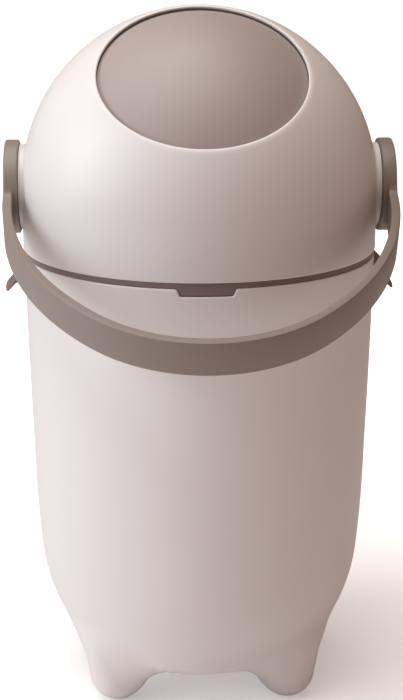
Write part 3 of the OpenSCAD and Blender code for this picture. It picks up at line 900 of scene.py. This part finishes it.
    def upper(self, angles: Array) -> Array:
        """The outside above top_z, the rounded rim with its notch, and the inside down to top_z.

        Args:
            angles: column angles.

        Returns:
            Points about the axis, rings from the outside to the inside.
        """
        rim = self.s.rim_z - self.s.notch(angles)
        half = self.wall / 2
        share = np.linspace(0, 1, 34)[1:, None]
        share = share * (1.6 - 0.6 * share)
        z_out = self.top_z + (rim - half - self.top_z) * share
        t = np.radians(np.linspace(0, 180, 9))[1:, None]
        r_rim = self.side_r(rim - half)
        r_arc, z_arc = r_rim - half + half * np.cos(t), rim - half + half * np.sin(t)
        wall_r = float(self.side_r(np.array(368.0))) - self.wall
        inside = rounded([(self.side_r(np.array(380.0)) - self.wall, 380), (wall_r, 368),
                          (self.ledge_r, 368), (self.ledge_r, 364),
                          (wall_r - 0.2, 359.5), (self.side_r(np.array(self.top_z)) - self.wall, self.top_z)],
                         [0, 0.5, 0.6, 0.6, 1.5, 0], 3, closed=False)
        levels = np.linspace(340, self.top_z, 9)[:, None]
        keep = inside[:-1]
        r_in = np.concatenate([np.repeat(keep[:, :1], len(angles), 1),
                               np.repeat(self.side_r(levels) - self.wall, len(angles), 1)])
        z_in = np.concatenate([np.repeat(keep[:, 1:], len(angles), 1), np.repeat(levels, len(angles), 1)])
        r = np.concatenate([self.side_r(z_out), r_arc, r_in])
        z = np.concatenate([z_out, z_arc, z_in])
        return np.stack([r * np.cos(angles), r * np.sin(angles), z], -1)

    def ears(self) -> list[Skin]:
        """The two hinge knuckles with the gussets that carry them, on the bucket's back.

        Returns:
            Closed surfaces, a gusset and a knuckle for each side.
        """
        y, z = self.s.hinge_y, self.s.hinge_z
        root = 147.4
        web = rounded([(root, 368), (root, 386), (y - 4.9, 387.8), (y - 2.0, 386.4), (y + 3.9, 386.3)],
                      [1, 1, 0.8, 1, 1.2], 3)
        knuckle = arc((y, z), self.s.knuckle_r, 0, 360, 40)[:-1]
        skins = []
        for side in Side:
            middle = side.value * (self.ear_in + self.ear_w / 2)

            def place(p: Array, q: Array, t: Array, middle: float = middle) -> Array:
                """Profile in y and z, thickness along x."""
                return self.s.on_axis(np.stack([middle + t, p, q], -1))

            skins += [slab(web, self.ear_w, 0.6, place), slab(knuckle, self.ear_w, 0.6, place)]
        return skins

    def build(self, finish: Finishes) -> None:
        """Makes the bucket's piece.

        Args:
            finish: the finishes.
        """
        angles = self.angles()
        outside = self.lower(angles)
        _, g = self.normal(outside[1:])
        inside = outside[1:] - unit(g) * self.wall
        middle = np.broadcast_to([0, 0, self.underside + self.wall], inside[:1].shape)
        inside = np.concatenate([middle, inside])
        keep = np.unique(np.concatenate([np.arange(0, 40, 4), np.arange(40, len(inside), 2)]))
        body = np.concatenate([outside, self.upper(angles), inside[keep][::-1]])
        skin = Skin(self.s.on_axis(body))
        make_piece("bucket_moulding", [skin], Body.BASE, finish.shell, ["bucket"])
        make_piece("bucket_hinge_ears", self.ears(), Body.BASE, finish.shell)


@dataclass
class SideGrips:
    """The flared finger grips just under the rim.

    Attributes:
        s: shared sizes.
        span: how far a grip reaches round the bucket, in degrees.
    """

    s: Sizes
    span: float = 17.0

    def build(self, finish: Finishes) -> None:
        """Makes a grip on each side: a profile of radius and height swept round the bucket.

        Args:
            finish: the finishes.
        """
        profile = rounded([(149.45, 386), (150.4, 386), (157.4, 379), (158.2, 367.0), (166.4, 358.8),
                           (164.8, 357.1), (156.4, 365.2), (151.6, 362), (149.2, 362)],
                          [0.3, 0.6, 2.5, 3.5, 1.1, 1.1, 2.0, 1.0, 0.3], 5)
        for side in Side:
            def place(p: Array, q: Array, t: Array, side: Side = side) -> Array:
                """Depth becomes arc length at the bucket's radius."""
                a = t / self.s.dome_r
                return self.s.on_axis(np.stack([side.value * p * np.cos(a), p * np.sin(a), q], -1))

            skin = slab(profile, math.radians(self.span) * self.s.dome_r, 1.1, place, spans=14)
            name = f"side_grip_lip_{side.name.lower()}"
            make_piece(name, [skin], Body.BASE, finish.band, [f"side_grip_{side.name.lower()}"])


@dataclass
class Dome:
    """The domed head shell with its hatch, rounded lip and the bosses that carry the handle.

    Attributes:
        s: shared sizes.
        hatch_r: radius of the lip's middle.
        hatch_tip: degrees that the opening sits above the solids' one, as in the photograph.
        lip_r: radius of the lip's inner half.
        roll: width of the roll from the dome into the hatch.
        boss_r: radius of a boss.
        boss_face: distance of its face from the middle.
        columns: columns round the shell.
    """

    s: Sizes
    hatch_r: float = 85.9
    hatch_tip: float = 1.0
    lip_r: float = 1.9
    roll: float = 5.0
    boss_r: float = 35.5
    boss_face: float = 151.2
    columns: int = 400

    def reach(self, d: Array, radius: float) -> Array:
        """Distance from the pivot to a wall of this radius: a ball above, an upright cylinder below."""
        return np.where(d[..., 2] >= 0, radius, radius / np.maximum(np.hypot(d[..., 0], d[..., 1]), 0.3))

    def shell(self) -> Skin:
        """The shell as rings between the hatch and the lower edge.

        Each column is a great circle about the pivot, from the hatch's axis through a point of
        the lower edge. The outside rolls over into the hatch along a quarter of an ellipse, and
        the lip's inner half is part of a small circle on the middle of the wall.

        Returns:
            A closed surface: outside, lower edge, inside and lip in one loop.
        """
        s = self.s
        elev = math.radians(s.hatch_elev + self.hatch_tip)
        axis = np.array([0.0, -math.cos(elev), math.sin(elev)])
        a = np.linspace(0, 2 * math.pi, self.columns, endpoint=False)
        drop = s.pivot_z - s.seam_z
        seam = unit(np.stack([np.cos(a), np.sin(a), np.full_like(a, -drop / s.dome_r)], -1))
        lean = unit(seam - (seam @ axis)[:, None] * axis)
        middle = s.dome_r - s.dome_wall / 2
        hatch = math.asin(self.hatch_r / middle)
        clear = hatch + self.lip_r * 1.25 / middle
        crest = hatch + (self.roll - self.lip_r) / middle
        last = np.arccos(np.clip(seam @ axis, -1, 1)) - 1.2 / s.dome_r

        def run(radius: float, count: int, start: float) -> Array:
            """Rings from beside the lip to just above the lower edge.

            Args:
                radius: radius of the wall.
                count: number of rings.
                start: angle from the hatch's axis at which they start.

            Returns:
                Points about the pivot, a ring to a row.
            """
            t = np.linspace(0, 1, count)[:, None]
            t = t * 0.6 + 0.4 * t * t
            theta = (start + (last - start) * t)[..., None]
            d = np.cos(theta) * axis + np.sin(theta) * lean
            return d * self.reach(d, radius)[..., None]

        out, within = s.dome_r, s.dome_r - s.dome_wall
        foot = rounded([(out, -drop + 4), (out, -drop), (within, -drop), (within, -drop + 4)],
                       [0, 0.9, 0.6, 0], 5, closed=False)[1:-1]
        edge = np.stack([foot[:, :1] * np.cos(a), foot[:, :1] * np.sin(a),
                         np.repeat(foot[:, 1:], len(a), 1)], -1)
        tau = np.radians(np.linspace(306, 180, 10))[:, None, None]
        under = (hatch + self.lip_r * np.cos(tau) / middle, middle + self.lip_r * np.sin(tau))
        tau = np.radians(np.linspace(172, 98, 10))[:, None, None]
        over = (crest + self.roll * np.cos(tau) / middle, middle + s.dome_wall / 2 * np.sin(tau))
        theta, radius = (np.concatenate(pair) for pair in zip(under, over))
        lip = (np.cos(theta) * axis + np.sin(theta) * lean) * radius
        loop = np.concatenate([run(out, 60, crest), edge, run(within, 40, clear)[::-1], lip])
        return Skin(loop + np.array([0, s.axis_y, s.pivot_z]), wrap_rows=True)

    def wall_x(self, y: Array, z: Array) -> Array:
        """How far out the dome's side lies at a place beside the pivot: a ball above it, a cylinder below."""
        r2 = self.s.dome_r**2 - y**2
        return np.sqrt(r2 - np.where(z > 0, z, 0.0) ** 2)

    def boss(self, side: Side) -> Skin:
        """A boss: a flat round face whose rim turns down and runs out onto the dome with a fillet.

        For each angle round the boss the profile is radius against height, and its foot follows
        the dome's own curve at that angle.

        Args:
            side: which side of the bin.

        Returns:
            The closed surface.
        """
        a = np.linspace(0, 2 * math.pi, 160, endpoint=False)
        top, fillet, bore, root, sunk = 0.9, 2.2, 18.2, 140.0, 0.03
        rim = arc((self.boss_r - top, self.boss_face - top), top, 90, 0, 5)
        foot_r = self.boss_r + fillet
        foot = self.wall_x(foot_r * np.cos(a), foot_r * np.sin(a))
        t = np.linspace(0, 1, 7)[:, None]
        r_fillet = self.boss_r + fillet * (1 - np.cos(t * math.pi / 2))
        room = np.minimum(1, (self.boss_face - top - foot) / fillet)
        x_fillet = foot - sunk + fillet * (1 - np.sin(t * math.pi / 2)) * room
        rows_r = [bore, bore, *rim[:, 0], *r_fillet, foot_r, bore]
        rows_x = [root, self.boss_face, *rim[:, 1], *x_fillet, foot - 1.0, root]
        r, x = (np.array([np.broadcast_to(row, a.shape) for row in rows]) for rows in (rows_r, rows_x))
        pts = np.stack([side.value * x, self.s.axis_y + r * np.cos(a), self.s.pivot_z + r * np.sin(a)], -1)
        return Skin(pts)

    def build(self, finish: Finishes) -> None:
        """Makes the shell with its bosses."""
        make_piece("dome_moulding", [self.shell()], Body.HEAD, finish.shell, ["dome_shell"])
        make_piece("dome_bosses", [self.boss(side) for side in Side], Body.HEAD, finish.shell)


@dataclass
class Ball:
    """The hollow ball in two halves, turned by the handle.

    Attributes:
        s: shared sizes.
        split: height of the joint between the halves, from the pivot.
        mouth_r: radius of the mouth, to the middle of its lip.
        hub: radius of a hub, and where it starts and ends.
    """

    s: Sizes
    split: float = -24.0
    mouth_r: float = 84.4
    hub: tuple[float, float, float] = (16.5, 128.3, 141.6)

    def build(self, finish: Finishes) -> None:
        """Makes the closed half with its hubs, and the open half with the mouth.

        Args:
            finish: the finishes.
        """
        s = self.s
        inner = s.ball_r - s.ball_wall
        up = Axle(origin=(0.0, s.axis_y, s.pivot_z))

        def rim(radius: float) -> float:
            """Elevation in degrees at which a ball of this radius crosses the joint."""
            return math.degrees(math.asin(self.split / radius))

        # both halves are bevelled at the joint, which shows as a fine groove
        outer = arc((0, 0), s.ball_r, 90, rim(s.ball_r) + 0.15, 120)
        inside = arc((0, 0), inner, rim(inner) + 0.1, 90, 90)
        seat = np.array([[math.sqrt(s.ball_r**2 - self.split**2) - 0.35, self.split]])
        closed = [up.spin(np.vstack([outer, seat, inside]), 256)]
        r, start, end = self.hub
        hub = rounded([(0, start), (r, start), (r, end), (0, end)], [0, 1.0, 0, 0], 4, closed=False)
        closed += [s.cross(side).spin(hub, 64) for side in Side]
        make_piece("ball_closed_half", closed, Body.ROTOR, finish.ball, ["cup_shell"])
        middle = s.ball_r - s.ball_wall / 2
        low = -math.degrees(math.acos(self.mouth_r / middle))
        centre = (self.mouth_r, -math.sqrt(middle**2 - self.mouth_r**2))
        lip = arc(centre, s.ball_wall / 2 + 0.02, low, low - 180, 12)
        skirt = arc((0, 0), s.ball_r, rim(s.ball_r) - 0.2, low + 0.1, 60)
        back = arc((0, 0), inner, low - 0.1, rim(inner) - 3.2, 50)
        tongue = rounded([back[-1], (inner - 2.4, -32.2), (inner - 2.75, -18.2), (inner - 0.35, -18.2),
                          (inner - 1.95, self.split)], [0.4, 0.6, 0.5, 0.4, 0.2], 3, closed=False)[1:]
        open_half = np.vstack([skirt, lip, back, tongue, [[s.ball_r - 2.4, self.split]]])
        half = up.spin(open_half, 256, closed=True)
        make_piece("ball_open_half", [half], Body.ROTOR, finish.ball, ["cup_collar"])


@dataclass
class Handle:
    """The strap handle: two discs and a bow of three arcs that run into each other.

    Attributes:
        s: shared sizes.
        disc_r: radius of a disc.
        strap_t: thickness of the strap.
        strap_w: width of the strap.
        edge: rounding of its edges.
        arm: length of the straight part, from the pivot.
        reach: how far the bow's front lies past the straight part.
        front_r: radius of the bow's front.
        fillet: fillet between strap and disc.
        recess_r: radius of the recess for the cap.
    """

    s: Sizes
    disc_r: float = 39.3
    strap_t: float = 7.5
    strap_w: float = 30.0
    edge: float = 1.3
    arm: float = 40.2
    reach: float = 202.6
    front_r: float = 131.0
    fillet: float = 8.0
    recess_r: float = 16.1

    def centre_line(self) -> tuple[Array, Array]:
        """The strap's outer face in the handle's plane, from one disc round to the other.

        Returns:
            Points (across, along) and their outward directions.
        """
        out = self.s.disc_out
        k = self.reach - self.front_r
        side_r = (out**2 + k**2 - self.front_r**2) / (2 * (out - self.front_r))
        side_x = side_r - out
        turn = math.degrees(math.atan2(k, side_x))
        root, flare = 14, 33
        y = np.concatenate([np.linspace(root, flare, 6)[:-1], np.linspace(flare, self.arm, 16)])
        straight = np.stack([np.full_like(y, out), y], -1)
        side = arc((-side_x, self.arm), side_r, 0, turn, 44)[1:]
        front = arc((0, self.arm + k), self.front_r, turn, 180 - turn, 110)[1:]
        right = np.vstack([straight, side])
        n_side = unit(side - np.array([-side_x, self.arm]))
        n_right = np.vstack([np.tile([1.0, 0.0], (len(straight), 1)), n_side])
        n_front = unit(front - np.array([0, self.arm + k]))
        flip = np.array([-1.0, 1.0])
        pts = np.vstack([right, front[:-1], right[::-1] * flip])
        return pts, np.vstack([n_right, n_front[:-1], n_right[::-1] * flip])

    def half_width(self, along: Array) -> Array:
        """Half the strap's width: even, but for the flare where the fillets meet the disc.

        The flare is off - sqrt(f^2 - (c - along)^2), the fillet circle's near side.

        Args:
            along: distances from the pivot along the handle.

        Returns:
            Half the width at each.
        """
        off = self.strap_w / 2 + self.fillet
        c = math.sqrt((self.disc_r + self.fillet) ** 2 - off**2)
        touch = c * self.disc_r / (self.disc_r + self.fillet)
        d = np.clip(c - np.maximum(along, touch), 0, self.fillet)
        return off - np.sqrt(self.fillet**2 - d**2)

    def strap(self) -> Skin:
        """The strap as a rounded section carried along its line, its ends sunk into the discs.

        Returns:
            The closed surface.
        """
        pts, normal = self.centre_line()
        half = self.half_width(pts[:, 1])
        near = np.abs(pts[:, 1]) > self.arm + 5
        half = np.where(near, self.strap_w / 2, half)
        t = np.radians(np.linspace(0, 90, 5))
        quarter = np.stack([np.cos(t), np.sin(t)], -1)
        sign = np.array([[1, 1], [-1, 1], [-1, -1], [1, -1]], float)
        order = [slice(None), slice(None, None, -1), slice(None), slice(None, None, -1)]
        round_part = np.vstack([quarter[o] * g for o, g in zip(order, sign)])
        corner = np.repeat(sign, 5, 0)
        half_t = self.strap_t / 2
        depth = corner[:, 0] * (half_t - self.edge) + self.edge * round_part[:, 0] - half_t
        width = corner[:, 1] * (half[:, None] - self.edge) + self.edge * round_part[:, 1]
        xy = pts[:, None] + normal[:, None] * depth[None, :, None]
        along, across = xy[..., 1], xy[..., 0]
        from_pivot = np.hypot(along, width)
        sunk, disc_edge = 0.45, 1.7
        sink = sunk * smoothstep((self.disc_r - disc_edge - from_pivot) / 2.0) * (along < self.arm)
        across = across - np.sign(across) * sink * (depth > -half_t)
        ring = self.to_bin(across, along, width)
        ends = [np.broadcast_to(ring[i].mean(0), ring[:1].shape) for i in (0, -1)]
        return Skin(np.concatenate([ends[0], ring, ends[1]]))

    def to_bin(self, across: Array, along: Array, width: Array) -> Array:
        """Handle plane to bin: turned about the pivot so that the handle hangs in front.

        Args:
            across: places along the axle.
            along: places away from the pivot.
            width: places across the strap's width.

        Returns:
            Points in the bin's frame.
        """
        a = math.radians(180 + self.s.hang)
        y = along * math.cos(a) - width * math.sin(a)
        z = along * math.sin(a) + width * math.cos(a)
        return np.stack([across, self.s.axis_y + y, self.s.pivot_z + z], -1)

    def disc(self, side: Side) -> Skin:
        """A disc with rounded edges and the shallow recess for its cap.

        Args:
            side: which side of the bin.

        Returns:
            The closed surface.
        """
        s = self.s
        r, out, floor = self.recess_r, s.disc_out, s.disc_out - 2
        profile = rounded([(0, s.disc_in), (self.disc_r, s.disc_in), (self.disc_r, out), (r, out),
                           (r, floor), (0, floor)], [0, 1.2, 1.7, 0.35, 0.2, 0], 6, closed=False)
        return s.cross(side).spin(profile, 192)

    def build(self, finish: Finishes) -> None:
        """Makes the handle and its two caps.

        Args:
            finish: the finishes.
        """
        make_piece("strap_handle", [self.strap(), *[self.disc(side) for side in Side]], Body.ROTOR,
                   finish.taupe, ["handle"])
        s = self.s
        r, out, under = self.recess_r - 0.15, s.disc_out, s.disc_out - 1.95
        cap = rounded([(0, under), (r, under), (r, out - 0.1), (8, out), (0, out)],
                      [0, 0.1, 0.5, 6, 0], 6, closed=False)
        for side in Side:
            name = side.name.lower()
            make_piece(f"disc_cap_{name}", [s.cross(side).spin(cap, 96)], Body.ROTOR, finish.taupe,
                       [f"hub_cap_{name}"])


@dataclass
class BaseRing:
    """The dark ring between dome and bucket, with its skirt, front tab and hinge knuckle.

    Attributes:
        s: shared sizes.
        band_r: radius of the band that shows.
        bore: radius of the hole in the ring.
        skirt_r: outer radius of the skirt inside the bucket.
        skirt_t: thickness of the skirt.
        web_in: where the web behind the ring starts, from the axis.
        knuckle_w: width of the hinge knuckle.
        columns: columns round the ring.
    """

    s: Sizes
    band_r: float = 148.4
    bore: float = 139.0
    skirt_r: float = 145.6
    skirt_t: float = 2.4
    web_in: float = 146.0
    knuckle_w: float = 28.0
    columns: int = 420

    def ring(self) -> Skin:
        """A loop of radius and height carried round, whose lower outer edge drops to form the tab.

        Returns:
            The closed surface.
        """
        s = self.s
        a = Bucket(s, columns=self.columns).angles()
        under = s.rim_z + 0.3
        tab = s.notch(a, 0.5)
        low = np.where(tab > 0.01, under - tab - 0.2, under)
        soft, within, foot = 0.5, self.skirt_r - self.skirt_t, s.rim_z - 12
        fixed = rounded([(self.band_r, under + 1.2), (self.band_r, s.seam_z), (self.bore, s.seam_z),
                         (self.bore, under), (within, under), (within, foot),
                         (self.skirt_r, foot), (self.skirt_r, foot + 4)],
                        [0, soft, soft, soft, 0.4, soft, soft, 0], 4, closed=False)
        r_fix = np.repeat(fixed[:, :1], len(a), 1)
        z_fix = np.repeat(fixed[:, 1:], len(a), 1)
        t = np.radians(np.linspace(0, 90, 5))[:, None]
        skirt_join = np.stack([np.full_like(a, self.skirt_r)] * 2)
        r = np.concatenate([r_fix, skirt_join, self.band_r - soft + soft * np.cos(t[::-1]) * np.ones_like(a)])
        z = np.concatenate([z_fix, np.stack([low - 0.6, low]), low + soft - soft * np.sin(t[::-1])])
        pts = np.stack([r * np.cos(a), r * np.sin(a), z], -1)
        return Skin(s.on_axis(pts), wrap_rows=True)

    def knuckle(self) -> list[Skin]:
        """The head's hinge knuckle, the web behind the ring and the heel that stops the tilt.

        Returns:
            Closed surfaces: web, knuckle and heel.
        """
        s = self.s
        y, z = s.hinge_y, s.hinge_z

        def place(p: Array, q: Array, t: Array) -> Array:
            """Profile in y and z, thickness along x."""
            return s.on_axis(np.stack([t, p, q], -1))

        inner, under, width = self.web_in, s.rim_z + 0.3, self.knuckle_w
        web = rounded([(inner, under), (y, under), (y, s.seam_z), (inner, s.seam_z)], [0.3] * 4, 3)
        stop_r, stop_from, stop_to = 10, -71.5, -57.5
        tips = arc((y, z), stop_r, stop_from, stop_to, 1)
        heel = rounded([(y - 2, z + 1), *tips, (y + 4.7, z - 2.8)], [0.5, 0.4, 0.5, 0.8], 3)
        barrel = arc((y, z), s.knuckle_r, 0, 360, 40)[:-1]
        return [slab(web, width, 0.3, place), slab(barrel, width, 0.6, place),
                slab(heel, width - 1, 0.3, place)]

    def build(self, finish: Finishes) -> None:
        """Makes the ring's piece."""
        skins = [self.ring(), *self.knuckle()]
        make_piece("seam_ring", skins, Body.HEAD, finish.band, ["base_ring"])


# ---- room


@dataclass
class Studio:
    """A pale floor, soft lamps and the camera, in metres.

    Attributes:
        s: shared sizes, in millimetres.
        half: half the floor's width.
        aim_z: height that the lamps point at.
        around: colour of the surroundings.
        strength: their strength.
        eye: the camera's place, measured from the bucket's axis.
        pitch: how far the camera looks down, in degrees.
        yaw: how far it is turned, in degrees, below 0 to the right.
        lens: its focal length in millimetres.
    """

    s: Sizes
    half: float = 12.0
    aim_z: float = 0.33
    around: tuple[float, float, float, float] = (1.0, 0.47, 0.29, 1.0)
    strength: float = 0.172
    eye: tuple[float, float, float] = (-0.0519, -1.3223, 0.676)
    pitch: float = 15.97
    yaw: float = -2.33
    lens: float = 80.9

    def floor(self) -> None:
        """A wide pale floor that shows white to the eye and keeps the bin's soft shadow."""
        mesh = bpy.data.meshes.new("floor")
        h = self.half
        mesh.from_pydata([(-h, -h, 0), (h, -h, 0), (h, h, 0), (-h, h, 0)], [], [(0, 1, 2, 3)])
        r = Recipe("pale_floor")
        r.constants(Roughness=0.9, Specular_IOR_Level=0.0, Emission_Color=(1, 1, 1, 1))
        tone = r.blend(r.ramp(r.noise(2.0, 2.0), 0.3, 0.7), (0.95, 0.94, 0.935), (0.935, 0.925, 0.92))
        r.link(tone, r.shader.inputs["Base Color"])
        far = r.node("ShaderNodeVectorMath", operation="LENGTH")
        r.link(r.node("ShaderNodeTexCoord").outputs["Object"], far.inputs[0])
        glow = r.ramp(far.outputs["Value"], 0.15, 1.1, 0.35, 1.0)
        glow.node.interpolation_type = "SMOOTHSTEP"
        seen = r.node("ShaderNodeLightPath").outputs["Is Camera Ray"]
        r.link(r.product(seen, glow), r.shader.inputs["Emission Strength"])
        mesh.materials.append(r.material)
        floor = put("floor", mesh)

    def lamp(self, name: str, place: tuple[float, float, float], watts: float, size: tuple[float, float],
             colour: tuple[float, float, float]) -> None:
        """A rectangular soft lamp aimed at the middle of the bin.

        Args:
            name: its name.
            place: where it stands.
            watts: its power.
            size: its width and height.
            colour: its linear colour.
        """
        light = bpy.data.lights.new(name, "AREA")
        light.shape = "RECTANGLE"
        light.size, light.size_y = size
        light.energy, light.color = watts, colour
        lamp = put(name, light)
        lamp.location = place
        aim = Vector((0, self.s.axis_y * MM, self.aim_z)) - Vector(place)
        lamp.rotation_euler = aim.to_track_quat("-Z", "Y").to_euler()

    def world(self) -> None:
        """Warm, even surroundings that are white to the eye."""
        world = bpy.data.worlds.new("surroundings")
        bpy.context.scene.world = world
        world.use_nodes = True
        nodes, links = world.node_tree.nodes, world.node_tree.links
        nodes.clear()
        mix, out = nodes.new("ShaderNodeMixShader"), nodes.new("ShaderNodeOutputWorld")
        links.new(nodes.new("ShaderNodeLightPath").outputs["Is Camera Ray"], mix.inputs[0])
        for i, (colour, strength) in enumerate(((self.around, self.strength), ((1, 1, 1, 1), 1.0)), 1):
            sky = nodes.new("ShaderNodeBackground")
            sky.inputs["Color"].default_value, sky.inputs["Strength"].default_value = colour, strength
            links.new(sky.outputs[0], mix.inputs[i])
        links.new(mix.outputs[0], out.inputs[0])

    def camera(self) -> None:
        """The camera at the photograph's place, 1.32 m in front and a little above the head."""
        data = bpy.data.cameras.new("camera")
        data.sensor_width, data.lens = 36.0, self.lens
        data.clip_start, data.clip_end = 0.05, 60.0
        camera = put("camera", data)
        x, y, z = self.eye
        camera.location = (x, y + self.s.axis_y * MM, z)
        camera.rotation_euler = (math.radians(90 - self.pitch), 0.0, math.radians(self.yaw))
        bpy.context.scene.camera = camera

    def build(self) -> None:
        """Sets up the whole room."""
        self.camera()
        self.floor()
        self.world()
        self.lamp("side", (-2.6, -0.35, 1.15), 27.8, (1.2, 1.6), (0.85, 0.92, 1.0))
        self.lamp("front_left", (-2.2, -1.25, 1.25), 14.4, (1.3, 1.6), (0.85, 0.92, 1.0))
        self.lamp("top", (-0.36, -0.15, 2.45), 36.5, (1.8, 1.8), (1.0, 1.0, 0.98))
        bpy.context.scene.view_settings.view_transform = "Standard"


def dress_nodes(finish: Finishes) -> None:
    """Gives every solid that still shows the finish of its material slot.

    Args:
        finish: the finishes.
    """
    groups = (
        (finish.shell, "bucket dome_shell"),
        (finish.taupe, "handle hub_cap_left hub_cap_right bag_ring"),
        (finish.ball, "cup_shell cup_collar"),
        (finish.band, "base_ring side_grip_left side_grip_right"),
        (finish.seal, "hatch_seal ball_seal rim_seal"),
        (finish.pad, "foot_pads"),
        (finish.bush, "bush_left bush_right axle_left axle_right"),
        (finish.steel, "hinge_pin base_screws hub_screws"),
    )
    by_node = {name: made for made, names in groups for name in names.split()}
    for name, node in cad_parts.items():
        for slot in node.material_slots:
            slot.material = by_node[name]
        LOG.info("%s: %s", name, by_node[name].name)


def main() -> None:
    """Builds the room, the finishes and each sub-assembly in order."""
    logging.basicConfig(level=logging.INFO, format="%(message)s")
    sizes = Sizes()
    Studio(sizes).build()
    finish = Finishes()
    dress_nodes(finish)
    for part in (Bucket(sizes), SideGrips(sizes), Dome(sizes), Ball(sizes), Handle(sizes), BaseRing(sizes)):
        part.build(finish)


if __name__ == "__main__":
    main()
